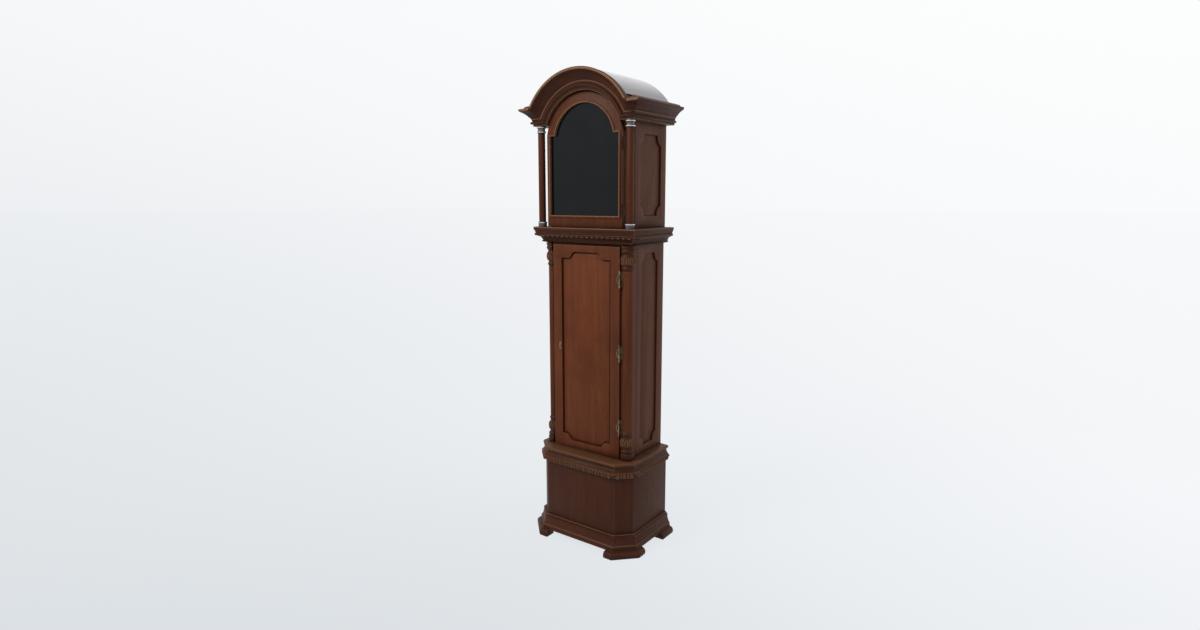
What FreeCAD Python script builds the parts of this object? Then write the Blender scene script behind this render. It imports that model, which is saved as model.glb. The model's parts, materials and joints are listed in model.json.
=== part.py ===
import FreeCAD, Part
import math
import os
import Sketcher
from FreeCAD import Vector

# Longcase clock. Millimetres, Z up, the front of the case faces -Y, and the origin is on
# the floor under the middle of the case. Depths are measured forward from the case's back.

os.makedirs("parts", exist_ok=True)
doc = FreeCAD.newDocument("longcase_clock")

# Driving dimensions

DIMENSIONS = {
    "overall_depth": 387.2,
    "board": 18.0,
    "sliding_gap": 0.3,
    "running_gap": 0.05,
    # Plinth
    "foot_height": 31.0,
    "foot_projection": 45.7,
    "foot_front_reach": 89.2,
    "foot_side_reach": 93.5,
    "foot_back_reach": 90.0,
    "foot_lap": 6.0,
    "plinth_step_side": 30.2,
    "plinth_step_front": 60.5,
    "corner_cut": 64.2,
    "skirt_projection": 27.5,
    "skirt_height": 68.0,
    "plinth_bottom_board": 15.0,
    "plinth_bottom_level": 40.0,
    "base_moulding_level": 361.0,
    "base_moulding_height": 70.5,
    "base_moulding_projection": 19.7,
    "plinth_top_level": 400.0,
    # Trunk
    "backboard": 12.0,
    "trunk_half_width": 221.0,
    "trunk_front_depth": 281.0,
    "trunk_top_level": 1416.0,
    "niche_wide": 31.0,
    "post_width": 40.0,
    "post_lining": 22.0,
    "niche_deep": 32.0,
    "rail_top_height": 71.0,
    "rail_bottom_height": 55.0,
    "side_opening_back": 50.0,
    "side_opening_margin": 62.0,
    "side_opening_bottom": 470.0,
    "side_opening_top": 1335.0,
    "side_opening_notch_wide": 27.0,
    "side_opening_notch_high": 40.0,
    "side_notch_radius": 36.0,
    "side_panel": 9.0,
    "side_panel_recess": 7.0,
    # Trunk door
    "door_margin": 10.0,
    "door_bottom_level": 433.0,
    "door_top_level": 1368.0,
    "door_lip": 11.7,
    "door_rebate": 8.0,
    "door_fit": 2.0,
    "door_stile": 46.0,
    "door_recess_top": 1338.5,
    "door_recess_curve": 45.0,
    "door_recess_top_corner": 34.0,
    "door_recess_top_drop": 28.5,
    "door_recess_bottom": 465.5,
    "door_recess_bottom_corner": 19.0,
    "door_recess_bottom_rise": 27.5,
    "door_panel_thick": 9.0,
    "door_panel_field": 4.0,
    "door_panel_margin": 9.0,
    # Quarter columns and their turned ends
    "quarter_column_inset": 20.0,
    "quarter_shaft_radius": 23.5,
    "quarter_shaft_bottom": 557.0,
    "quarter_shaft_top": 1265.0,
    "quarter_end_radius": 34.5,
    "quarter_foot_level": 431.5,
    "quarter_head_level": 1373.0,
    # Waist moulding
    "waist_level": 1371.6,
    "waist_height": 44.6,
    "waist_projection": 47.7,
    "waist_set_back": 11.0,
    # Seat of the movement
    "seat_support_thick": 18.0,
    "seat_support_bottom": 1330.0,
    "seat_support_back": 40.0,
    "seat_margin": 25.0,
    "seat_back": 60.0,
    "seat_slot_half": 13.75,
    "seat_level": 1574.0,
    "seat_end_gap": 21.0,
    # Hood
    "hood_frame_height": 27.0,
    "hood_frame_projection": 50.7,
    "hood_side_overlap": 15.0,
    "hood_side_thick": 20.0,
    "hood_post_deep": 33.0,
    "hood_side_top": 1950.0,
    "hood_panel_back": 42.0,
    "hood_panel_margin": 41.0,
    "hood_panel_bottom": 1494.0,
    "hood_panel_top": 1835.0,
    "hood_panel_notch_wide": 30.0,
    "hood_panel_notch_high": 44.0,
    "hood_notch_radius": 40.0,
    "hood_post_width": 26.0,
    "hood_post_step": 5.5,
    "hood_step": 2.0,
    "arch_head_thick": 21.0,
    "arch_level": 1808.0,
    "arch_shoulder_level": 1836.0,
    "arch_opening_step": 8.0,
    "roof_rise": 85.5,
    "roof_thick": 4.0,
    "roof_reach": 57.0,
    # Cornice
    "cornice_level": 1881.5,
    "cornice_height": 95.8,
    "cornice_projection": 84.4,
    "cornice_sunk": 5.4,
    "cornice_arch_gap": 5.5,
    "cornice_stretch": 1.19,
    # Hood columns
    "hood_column_step": 8.6,
    "hood_column_radius": 15.7,
    "hood_column_base_height": 22.5,
    "hood_column_cap_height": 28.5,
    "hood_column_ring_radius": 20.5,
    # Hood door
    "hood_door_side_gap": 1.5,
    "hood_door_bottom": 1445.5,
    "hood_door_arch_step": 2.0,
    "hood_door_gap": 1.0,
    "hood_door_thick": 20.0,
    "hood_door_stile": 16.5,
    "sight_bottom": 1495.5,
    "sight_shoulder_width": 25.0,
    "glass_seat": 7.0,
    "glass_thick": 3.0,
    "glass_rebate": 4.5,
    "glass_lip_width": 9.0,
    "glass_lip_proud": 4.0,
    # Hinges
    "trunk_hinge_step": 15.0,
    "trunk_hinge_height": 66.0,
    "trunk_hinge_low": 579.0,
    "trunk_hinge_mid": 910.0,
    "trunk_hinge_high": 1229.5,
    "trunk_knuckle_radius": 3.2,
    "trunk_pin_radius": 1.5,
    "trunk_leaf": 1.5,
    "trunk_leaf_reach": 17.0,
    "hood_hinge_step": 1.4,
    "hood_hinge_height": 50.0,
    "hood_hinge_low": 1520.0,
    "hood_hinge_high": 1790.0,
    "hood_knuckle_radius": 2.5,
    "hood_pin_radius": 1.2,
    "hood_leaf": 1.2,
    "hood_leaf_reach": 28.0,
    # Lock
    "lock_level": 907.5,
    "lock_height": 55.0,
    "lock_width": 27.0,
    "lock_depth": 18.0,
    "bolt_height": 10.0,
    "bolt_thick": 5.0,
    "bolt_length": 26.0,
    "escutcheon_margin": 36.8,
    "escutcheon_height": 35.0,
    "escutcheon_width": 12.0,
    "escutcheon_thick": 1.2,
    "keyhole_radius": 1.6,
    "bolt_travel": 10.0,
    # Dial and hands
    "dial_margin": 4.5,
    "dial_set_back": 28.0,
    "dial_thick": 3.0,
    "dial_bottom": 1500.0,
    "dial_shoulder": 1856.0,
    "dial_arch_margin": 7.5,
    "dial_centre": 1678.0,
    "dial_foot_radius": 4.0,
    "dial_foot_reach": 50.0,
    "winding_hole_radius": 6.0,
    "hand_thick": 1.5,
    "hour_hand_length": 86.0,
    "minute_hand_length": 126.0,
    "hand_gap": 1.5,
    # Movement
    "plate_half": 65.0,
    "plate_thick": 3.0,
    "plate_top": 1765.0,
    "dial_foot_height": 55.0,
    "plate_spacing": 80.0,
    "pillar_radius": 5.0,
    "pillar_inset": 9.0,
    "arbor_radius": 1.6,
    "pivot_radius": 1.0,
    "wheel_thick": 2.0,
    "hub_radius": 4.8,
    "great_hub_radius": 6.0,
    "great_arm": 9.0,
    "pinion_thick": 6.0,
    "centre_module": 0.75,
    "third_module": 0.7,
    "centre_wheel_step": 7.0,
    "third_wheel_step": 45.0,
    "escape_wheel_step": 30.0,
    "great_wheel_step": 11.0,
    "great_across": 28.0,
    "third_across": 15.0,
    "escape_radius": 20.0,
    "escape_tooth": 4.0,
    "motion_module": 0.7,
    "hour_module": 0.9,
    "motion_across": 17.8,
    "cannon_radius": 3.2,
    "pipe_radius": 4.8,
    "barrel_radius": 25.4,
    "barrel_step": 15.0,
    "barrel_length": 46.0,
    "barrel_arbor_radius": 3.0,
    # Escapement and pendulum
    "pallet_clearance": 0.2,
    "nib_thick": 1.0,
    "nib_length": 6.0,
    "anchor_hub": 4.0,
    "crutch_length": 110.0,
    "crutch_thick": 3.0,
    "cock_half": 12.0,
    "cock_thick": 8.0,
    "cock_foot_height": 12.0,
    "pendulum_step": 20.0,
    "pendulum_length": 994.0,
    "rod_radius": 2.5,
    "suspension_length": 20.0,
    "suspension_width": 5.0,
    "suspension_thick": 0.4,
    "bob_radius": 55.0,
    "bob_thick": 30.0,
    "bob_rim": 4.0,
    "rating_nut_radius": 7.0,
    "rating_nut_thick": 5.0,
    # Weight and line
    "weight_radius": 30.0,
    "weight_height": 200.0,
    "weight_bottom": 290.0,
    "stirrup_height": 55.0,
    "stirrup_width": 8.0,
    "stirrup_thick": 2.0,
    "stirrup_stem_radius": 3.0,
    "pulley_thick": 6.0,
    "pulley_flange": 2.0,
    "groove_half": 2.1,
    "groove_floor_half": 0.6,
    "line_radius": 1.0,
    "line_step": 40.0,
    "line_hole_radius": 3.0,
}

# Sizes that follow from the ones above, so that the fronts, steps and works stay together
FORMULAS = {
    "plinth_half_width": "trunk_half_width + plinth_step_side",
    "plinth_depth": "trunk_front_depth + plinth_step_front",
    "niche_depth": "trunk_front_depth - niche_deep",
    "trunk_side_depth": "niche_depth - board",
    "post_outer_half": "trunk_half_width - niche_wide",
    "quarter_column_half": "trunk_half_width - quarter_column_inset",
    "quarter_column_depth": "trunk_front_depth - quarter_column_inset",
    "side_opening_front": "niche_depth - side_opening_margin",
    "waist_front_depth": "trunk_front_depth - waist_set_back",
    "hood_front_depth": "trunk_front_depth + hood_step",
    "hood_side_front": "hood_front_depth - hood_post_deep",
    "hood_panel_front": "hood_side_front - hood_panel_margin",
    "arch_head_back": "hood_front_depth - arch_head_thick",
    "roof_front": "hood_front_depth + roof_reach",
    "cornice_front_depth": "hood_front_depth - cornice_sunk",
    "hood_column_depth": "hood_front_depth + hood_column_radius",
    "hood_door_back": "hood_front_depth + hood_door_gap",
    "hood_door_front": "hood_door_back + hood_door_thick",
    "glass_back": "hood_door_back + glass_seat",
    "trunk_hinge_depth": "trunk_front_depth + trunk_hinge_step",
    "hood_hinge_depth": "hood_door_front + hood_knuckle_radius",
    "dial_depth": "hood_front_depth - dial_set_back",
    "front_plate": "dial_depth - dial_foot_height",
    "back_plate": "front_plate - plate_spacing",
    "centre_wheel_depth": "back_plate + centre_wheel_step",
    "third_wheel_depth": "back_plate + third_wheel_step",
    "escape_wheel_depth": "back_plate + escape_wheel_step",
    "great_wheel_depth": "front_plate - great_wheel_step",
    "barrel_back": "back_plate + barrel_step",
    "barrel_front": "barrel_back + barrel_length",
    "pendulum_depth": "back_plate - pendulum_step",
    "line_depth": "back_plate + line_step",
    "seat_front": "front_plate + seat_margin",
    "post_inner_half": "post_outer_half - post_width",
    "door_half_width": "post_outer_half - door_margin",
    "door_recess_half": "door_half_width - door_stile",
    "door_recess_top_shoulder": "door_recess_half - door_recess_top_corner",
    "door_recess_top_flat": "door_recess_top_shoulder - door_recess_curve",
    "door_recess_bottom_shoulder": "door_recess_half - door_recess_bottom_corner",
    "door_recess_bottom_flat": "door_recess_bottom_shoulder - door_recess_curve",
    "trunk_hinge_half": "door_half_width + trunk_pin_radius",
    "escutcheon_half": "door_half_width - escutcheon_margin",
    "seat_half_width": "trunk_half_width - seat_end_gap",
    "hood_side_inner": "trunk_half_width - hood_side_overlap",
    "hood_side_outer": "hood_side_inner + hood_side_thick",
    "hood_post_inner": "hood_side_inner - hood_post_width",
    "hood_post_front_half": "hood_side_inner - hood_post_step",
    "hood_column_half": "hood_side_outer + hood_column_step",
    "hood_door_half": "hood_post_front_half - hood_door_side_gap",
    "hood_door_arch": "hood_door_half + hood_door_arch_step",
    "hood_hinge_half": "hood_door_half + hood_hinge_step",
    "arch_opening_radius": "hood_post_inner - arch_opening_step",
    "cornice_soffit_radius": "hood_door_arch + cornice_arch_gap",
    "roof_radius": "cornice_soffit_radius + roof_rise",
    "sight_half": "hood_door_half - hood_door_stile",
    "sight_arch_radius": "sight_half - sight_shoulder_width",
    "dial_half": "sight_half - dial_margin",
    "dial_arch_radius": "sight_arch_radius - dial_arch_margin",
}

cells = {alias: str(value) for alias, value in DIMENSIONS.items()}
cells.update({alias: "=" + formula for alias, formula in FORMULAS.items()})
sheet = doc.addObject("Spreadsheet::Sheet", "Sizes")
for row, alias in enumerate(cells, start=1):
    sheet.set("A%d" % row, alias)
    sheet.setAlias("B%d" % row, alias)
for row, content in enumerate(cells.values(), start=1):
    sheet.set("B%d" % row, content)
doc.recompute()


# Sizes that carry their own formula

class Size:
    """A length together with the formula that gives it from the sheet."""

    def __init__(self, value, formula):
        self.value = value
        self.formula = formula

    def join(self, other, sign, value):
        return Size(value, "(%s %s %s)" % (self.formula, sign, formula_of(other)))

    def __add__(self, other):
        return self.join(other, "+", self.value + value_of(other))

    def __radd__(self, other):
        return self + other

    def __sub__(self, other):
        return self.join(other, "-", self.value - value_of(other))

    def __rsub__(self, other):
        return -self + other

    def __mul__(self, other):
        return self.join(other, "*", self.value * value_of(other))

    def __rmul__(self, other):
        return self * other

    def __truediv__(self, other):
        return self.join(other, "/", self.value / value_of(other))

    def __neg__(self):
        return Size(-self.value, "(0 - %s)" % self.formula)

    def root(self):
        return Size(math.sqrt(self.value), "sqrt(%s)" % self.formula)


def value_of(size):
    return size.value if isinstance(size, Size) else float(size)


def formula_of(size):
    return size.formula if isinstance(size, Size) else repr(float(size))


ZERO = Size(0, "0")


class Sizes:
    """Every cell of the sheet, under its own name."""

    def __init__(self):
        for alias in cells:
            setattr(self, alias, Size(float(sheet.get(alias)), "Sizes." + alias))


size = Sizes()
back = size.overall_depth / 2


def leg(long_side, short_side):
    """The other short side of a right-angled triangle."""
    return (long_side * long_side - short_side * short_side).root()


# Outlines
# An outline is a list of corners (across, up). A third entry bends the edge that ends at
# the corner into an arc of that radius, turning left; a fourth entry "right" turns it right.

def flipped(outline):
    """The outline with its first coordinate turned round, as depths are in the part's frame."""
    result = []
    for across, up, *bend in outline:
        if bend:
            bend = [bend[0]] if len(bend) > 1 else [bend[0], "right"]
        result.append((-across, up, *bend))
    return result


def upturned(outline):
    """The outline with its second coordinate turned round."""
    result = []
    for across, up, *bend in outline:
        if bend:
            bend = [bend[0]] if len(bend) > 1 else [bend[0], "right"]
        result.append((across, -up, *bend))
    return result


def arc_middle(start, end, radius, turns_right):
    """The point halfway along the short arc between two points."""
    chord = end - start
    half = chord.Length / 2
    rise = radius - math.sqrt(max(radius * radius - half * half, 0))
    outward = Vector(chord.y, -chord.x, 0).normalize()
    if turns_right:
        outward = -outward
    return (start + end) / 2 + outward * rise


def edges_of(outline):
    """Pairs of an edge and the number of its first end, going round the outline."""
    points = [Vector(value_of(corner[0]), value_of(corner[1]), 0) for corner in outline]
    result = []
    for number, start in enumerate(points):
        following = (number + 1) % len(points)
        end = points[following]
        bend = outline[following][2:]
        if not bend:
            result.append((Part.LineSegment(start, end), 1))
            continue
        turns_right = len(bend) > 1
        middle = arc_middle(start, end, value_of(bend[0]), turns_right)
        if turns_right:
            result.append((Part.Arc(end, middle, start), 2))
        else:
            result.append((Part.Arc(start, middle, end), 1))
    return result


def fix(sketch, kind, *terms):
    """One dimension of a sketch, which follows the sheet."""
    length = terms[-1]
    number = sketch.addConstraint(Sketcher.Constraint(kind, *terms[:-1], value_of(length)))
    if isinstance(length, Size):
        sketch.setExpression("Constraints[%d]" % number, length.formula)


def add_outline(sketch, outline):
    """A closed outline with every corner and radius given."""
    first = sketch.GeometryCount
    edges = edges_of(outline)
    for number, (edge, start_end) in enumerate(edges):
        sketch.addGeometry(edge, False)
        index = first + number
        fix(sketch, "DistanceX", -1, 1, index, start_end, outline[number][0])
        fix(sketch, "DistanceY", -1, 1, index, start_end, outline[number][1])
    for number, (edge, start_end) in enumerate(edges):
        following = (number + 1) % len(edges)
        far_end = 2 if start_end == 1 else 1
        sketch.addConstraint(Sketcher.Constraint(
            "Coincident", first + number, far_end, first + following, edges[following][1]))
        bend = outline[following][2:]
        if bend:
            fix(sketch, "Radius", first + number, bend[0])


class Disc:
    """A round outline."""

    def __init__(self, across, up, radius):
        self.across = across
        self.up = up
        self.radius = radius


def add_disc(sketch, disc):
    centre = Vector(value_of(disc.across), value_of(disc.up), 0)
    index = sketch.addGeometry(Part.Circle(centre, Vector(0, 0, 1), value_of(disc.radius)), False)
    fix(sketch, "DistanceX", -1, 1, index, 3, disc.across)
    fix(sketch, "DistanceY", -1, 1, index, 3, disc.up)
    fix(sketch, "Radius", index, disc.radius)


# How a piece is looked at: the plane of the sketch, and how its outlines turn on it

VIEWS = {"front": "XZ_Plane", "side": "YZ_Plane", "plan": "XY_Plane"}


def seen(view, outline):
    """An outline as it lies on the sketch plane of a view."""
    if isinstance(outline, Disc):
        if view == "side":
            return Disc(-outline.across, outline.up, outline.radius)
        if view == "plan":
            return Disc(outline.across, -outline.up, outline.radius)
        return outline
    if view == "side":
        return flipped(outline)
    if view == "plan":
        return upturned(outline)
    return outline


def new_body(name):
    """A body that stands at the back of the case, so that depths run forward from there."""
    body = doc.addObject("PartDesign::Body", name)
    body.Label = name
    body.setExpression("Placement.Base.y", back.formula)
    return body


def sketch_on(body, view, level, outlines):
    """A sketch of one or more outlines, at a level along the view's own direction."""
    plane = [item for item in body.Origin.OriginFeatures if item.Role == VIEWS[view]][0]
    sketch = body.newObject("Sketcher::SketchObject", body.Name + "_sketch")
    sketch.AttachmentSupport = [(plane, "")]
    sketch.MapMode = "FlatFace"
    sketch.setExpression("AttachmentOffset.Base.z", formula_of(level))
    for outline in outlines:
        placed = seen(view, outline)
        if isinstance(placed, Disc):
            add_disc(sketch, placed)
        else:
            add_outline(sketch, placed)
    return sketch


def pad(body, view, start, finish, *outlines):
    """Material between two levels, forward, outward or upward."""
    feature = body.newObject("PartDesign::Pad", body.Name + "_pad")
    feature.Profile = sketch_on(body, view, start, outlines)
    feature.setExpression("Length", formula_of(finish - start))
    return feature


def pocket(body, view, start, finish, *outlines):
    """A recess cut between two levels."""
    feature = body.newObject("PartDesign::Pocket", body.Name + "_pocket")
    feature.Profile = sketch_on(body, view, start, outlines)
    feature.setExpression("Length", formula_of(finish - start))
    feature.Reversed = True
    return feature


def board(name, view, start, finish, *outlines):
    """A piece cut to its outline."""
    body = new_body(name)
    pad(body, view, start, finish, *outlines)
    return body


def box_outline(left, right, bottom, top):
    return [(left, bottom), (right, bottom), (right, top), (left, top)]


def revolved(body, view, level, outline, about_upright=True, kind="PartDesign::Revolution"):
    """A turned form: the outline goes round the sketch's own upright or level axis."""
    feature = body.newObject(kind, body.Name + "_turned")
    sketch = sketch_on(body, view, level, [outline])
    feature.Profile = sketch
    feature.ReferenceAxis = (sketch, ["V_Axis" if about_upright else "H_Axis"])
    feature.Angle = 360
    return feature


def mirrored(name, source):
    """The opposite-handed copy of a piece, across the middle of the case."""
    copy = doc.addObject("Part::Mirroring", name)
    copy.Label = name
    copy.Source = source
    copy.Normal = Vector(1, 0, 0)
    return copy


def group(name, *members):
    """Several loose pieces that are kept together."""
    together = doc.addObject("Part::Compound", name)
    together.Label = name
    together.Links = list(members)
    return together


# Mitred lengths

def section(shares, projection, height, level, inset=None):
    """A moulding's section from its shares; an inset takes its top and bed further in."""
    outline = []
    for across_share, up_share, *bend_share in shares:
        corner = (projection * across_share, level + height * up_share)
        if bend_share:
            corner += (height * bend_share[0], *bend_share[1:])
        outline.append(corner)
    if inset is not None:
        outline += [(-inset, level + height), (-inset, level)]
    return outline


def face_of(outline):
    """A flat face inside an outline."""
    edges = [edge.toShape() for edge, start_end in edges_of(outline)]
    return Part.Face(Part.Wire(Part.__sortEdges__(edges)))


def plan_points(*corners):
    """Corners given as distance from the middle and depth, as points of the plan."""
    return [Vector(value_of(across), -value_of(depth), 0) for across, depth in corners]


def prism(points, bottom, top):
    """A straight block between two levels on an outline of plan points."""
    lifted = [point + Vector(0, 0, bottom) for point in points]
    return Part.Face(Part.makePolygon(lifted + lifted[:1])).extrude(Vector(0, 0, top - bottom))


def mitred_lengths(outline, corners):
    """Straight lengths of one section along a line of corners, mitred where they meet."""
    face = face_of(outline)
    bounds = face.BoundBox
    inner = bounds.XMin - bounds.XLength
    outer = bounds.XMax + bounds.XLength
    directions = [(end - start).normalize() for start, end in zip(corners, corners[1:])]
    outwards = [Vector(along.y, -along.x, 0) for along in directions]
    mitres = [outwards[0]]
    for before, after in zip(outwards, outwards[1:]):
        mitres.append((before + after) / (1 + before.dot(after)))
    mitres.append(outwards[-1])
    lengths = []
    for number, along in enumerate(directions):
        outward = outwards[number]
        start, end = corners[number], corners[number + 1]
        turn = FreeCAD.Rotation(outward, Vector(0, 0, 1), Vector(0, 0, 0), "XYZ")
        run_over = along * (outer - inner)
        placed = face.copy()
        placed.Placement = FreeCAD.Placement(start - run_over, turn)
        bar = placed.extrude(end - start + run_over * 2)
        first, last = mitres[number], mitres[number + 1]
        quarter = [start + first * inner, end + last * inner, end + last * outer, start + first * outer]
        wedge = prism(quarter, bounds.YMin - bounds.YLength, bounds.YMax + bounds.YLength)
        lengths.append(bar.common(wedge).Solids[0])
    return lengths


def coded(name, solids):
    """A piece, or several, whose shape is worked out above."""
    feature = doc.addObject("Part::Feature", name)
    feature.Label = name
    feature.Shape = solids[0] if len(solids) == 1 else Part.makeCompound(solids)
    feature.Placement = FreeCAD.Placement(Vector(0, value_of(back), 0), FreeCAD.Rotation())
    return feature


# Plinth

FOOT_SHARES = [(0.94, 0), (1, 0.32), (0.86, 0.87, 0.75), (0.64, 1)]
SKIRT_SHARES = [(0, 0), (1, 0), (0.93, 0.25), (0.64, 0.43, 0.3, "right"),
                (0.5, 0.87, 0.9, "right"), (0.22, 0.9), (0.22, 0.97), (0, 1)]
BASE_SHARES = [(0, 0), (0.74, 0.15), (1, 0.27), (0.72, 0.365, 0.12), (0.3, 0.5),
               (0.07, 0.66, 0.4, "right"), (0.55, 0.81), (0.33, 0.96, 0.1)]


def plinth_corners():
    """The plan of the plinth from its left back corner round the front to the right."""
    half = size.plinth_half_width
    depth = size.plinth_depth
    cut = size.corner_cut
    return plan_points((-half, 0), (-half, depth - cut), (cut - half, depth),
                       (half - cut, depth), (half, depth - cut), (half, 0))


def foot_section():
    return section(FOOT_SHARES, size.foot_projection, size.foot_height, ZERO, size.foot_lap)


def front_foot():
    """A bracket foot that runs round the cut corner of the plinth."""
    half = size.plinth_half_width
    depth = size.plinth_depth
    cut = size.corner_cut
    corners = plan_points((half - size.foot_front_reach, depth), (half - cut, depth),
                          (half, depth - cut), (half, depth - size.foot_side_reach))
    first, *others = mitred_lengths(foot_section(), corners)
    return coded("foot_front_right", [first.multiFuse(others).removeSplitter()])


def back_feet():
    half = size.plinth_half_width
    right = mitred_lengths(foot_section(), plan_points((half, size.foot_back_reach), (half, 0)))
    left = mitred_lengths(foot_section(), plan_points((-half, 0), (-half, size.foot_back_reach)))
    return coded("feet_back", right + left)


def skirt_moulding():
    outline = section(SKIRT_SHARES, size.skirt_projection, size.skirt_height, size.foot_height)
    return coded("skirt_moulding", mitred_lengths(outline, plinth_corners()))


def plinth_front():
    half = size.plinth_half_width - size.corner_cut
    return board("plinth_front", "front", size.plinth_depth - size.board, size.plinth_depth,
                 box_outline(-half, half, size.foot_height, size.plinth_top_level))


def plinth_corner_outline():
    """The plan of the board on the cut corner, mitred into the boards beside it."""
    half = size.plinth_half_width
    depth = size.plinth_depth
    cut = size.corner_cut
    return [(half - cut, depth), (half - cut, depth - size.board),
            (half - size.board, depth - cut), (half, depth - cut)]


def plinth_corner():
    right = board("plinth_corner_right", "plan", size.foot_height, size.plinth_top_level,
                  plinth_corner_outline())
    left = mirrored("plinth_corner_left", right)
    return group("plinth_corners", right, left)


def plinth_side():
    right = board("plinth_side_right", "side", size.plinth_half_width - size.board,
                  size.plinth_half_width,
                  box_outline(0, size.plinth_depth - size.corner_cut,
                              size.foot_height, size.plinth_top_level))
    left = mirrored("plinth_side_left", right)
    return group("plinth_sides", right, left)


def plinth_bottom():
    """The bottom board, which follows the inside of the boards round it."""
    half = size.plinth_half_width - size.board
    depth = size.plinth_depth - size.board
    cut = size.plinth_half_width - size.corner_cut
    outline = [(-half, size.backboard), (half, size.backboard),
               (half, size.plinth_depth - size.corner_cut), (cut, depth),
               (-cut, depth), (-half, size.plinth_depth - size.corner_cut)]
    return board("plinth_bottom", "plan", size.plinth_bottom_level,
                 size.plinth_bottom_level + size.plinth_bottom_board, outline)


def trunk_plan():
    """The plan of the trunk, with the niches of the quarter columns."""
    half = size.trunk_half_width
    post = size.post_outer_half
    front = size.trunk_front_depth
    niche = size.niche_depth
    return plan_points((-half, 0), (-half, niche), (-post, niche), (-post, front),
                       (post, front), (post, niche), (half, niche), (half, 0))


def base_moulding():
    """The moulding that covers the top edge of the plinth and runs in to the trunk."""
    inset = size.plinth_depth - size.trunk_front_depth
    outline = section(BASE_SHARES, size.base_moulding_projection, size.base_moulding_height,
                      size.base_moulding_level)
    top = size.base_moulding_level + size.base_moulding_height
    outline += [(-inset, top), (-inset, size.plinth_top_level), (0, size.plinth_top_level)]
    trunk = prism(trunk_plan(), value_of(size.base_moulding_level), value_of(top + size.board))
    lengths = [length.cut(trunk).Solids[0] for length in mitred_lengths(outline, plinth_corners())]
    return coded("base_moulding", lengths)


# Trunk

def notched_outline(left, right, bottom, top, wide, high, radius):
    """An upright panel whose four corners are hollowed by an arc."""
    return [(left + wide, bottom), (right - wide, bottom), (right, bottom + high, radius, "right"),
            (right, top - high), (right - wide, top, radius, "right"),
            (left + wide, top), (left, top - high, radius, "right"),
            (left, bottom + high), (left + wide, bottom, radius, "right")]


def tidy(outline):
    """The outline with its last corner, which meets the first, folded into it."""
    *corners, last = outline
    return [last] + corners[1:]


def backboard():
    wide = size.plinth_half_width - size.board
    narrow = size.trunk_half_width - size.board
    step = size.plinth_top_level
    outline = [(-wide, size.plinth_bottom_level), (wide, size.plinth_bottom_level), (wide, step),
               (narrow, step), (narrow, size.arch_level), (-narrow, size.arch_level),
               (-narrow, step), (-wide, step)]
    return board("backboard", "front", ZERO, size.backboard, outline)


def side_opening(gap):
    return tidy(notched_outline(
        size.side_opening_back + gap, size.side_opening_front - gap,
        size.side_opening_bottom + gap, size.side_opening_top - gap,
        size.side_opening_notch_wide, size.side_opening_notch_high, size.side_notch_radius))


def trunk_side():
    inner = size.trunk_half_width - size.board
    outline = box_outline(0, size.trunk_side_depth, size.plinth_top_level, size.trunk_top_level)
    return board("trunk_side_right", "side", inner, size.trunk_half_width, outline, side_opening(0))


def trunk_side_panels():
    outer = size.trunk_half_width - size.side_panel_recess
    right = board("trunk_side_panel_right", "side", outer - size.side_panel, outer,
                  side_opening(size.sliding_gap))
    left = mirrored("trunk_side_panel_left", right)
    return group("trunk_side_panels", right, left)


def trunk_post():
    """A front post: its face, and behind it the lining with the floor of the niche."""
    inner = size.post_inner_half
    outer = size.post_outer_half
    half = size.trunk_half_width
    front = size.trunk_front_depth
    seam = front - size.board
    lining = inner + size.post_lining
    levels = (size.plinth_top_level, size.trunk_top_level)
    face = board("trunk_post_face", "plan", *levels,
                 [(inner, front), (inner, seam), (outer, seam), (outer, front)])
    behind = board("trunk_post_lining", "plan", *levels,
                   [(lining, seam), (lining, size.trunk_side_depth), (half, size.trunk_side_depth),
                    (half, size.niche_depth), (outer, size.niche_depth), (outer, seam)])
    return face, behind


def trunk_front_frame():
    inner = size.post_inner_half
    bottom = size.plinth_top_level
    top = size.trunk_top_level
    face, lining = trunk_post()
    rails = board("trunk_rails", "front", size.trunk_front_depth - size.board,
                  size.trunk_front_depth,
                  box_outline(-inner, inner, bottom, bottom + size.rail_bottom_height),
                  box_outline(-inner, inner, top - size.rail_top_height, top))
    return group("trunk_front_frame", face, lining, mirrored("trunk_post_face_left", face),
                 mirrored("trunk_post_lining_left", lining), rails)


WAIST_SHARES = [(0, 0), (0.54, 0.15), (0.43, 0.327, 0.25, "right"), (0.53, 0.53),
                (0.83, 0.74, 0.5, "right"), (1, 0.855, 0.14), (0.91, 1, 0.12)]


def waist_corners():
    half = size.trunk_half_width
    depth = size.waist_front_depth
    return plan_points((-half, 0), (-half, depth), (half, depth), (half, 0))


def waist_moulding():
    inset = size.waist_front_depth - size.niche_depth + size.board
    outline = section(WAIST_SHARES, size.waist_projection, size.waist_height, size.waist_level, inset)
    top = value_of(size.waist_level + size.waist_height + size.board)
    trunk = prism(trunk_plan(), value_of(size.plinth_top_level), top)
    lengths = [length.cut(trunk).Solids[0] for length in mitred_lengths(outline, waist_corners())]
    return coded("waist_moulding", lengths)


# Quarter columns

REED_COUNT = 9
REED_START_DEGREES = -30
REED_FINISH_DEGREES = 117
REED_SWELL_SHARE = 0.62


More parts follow.
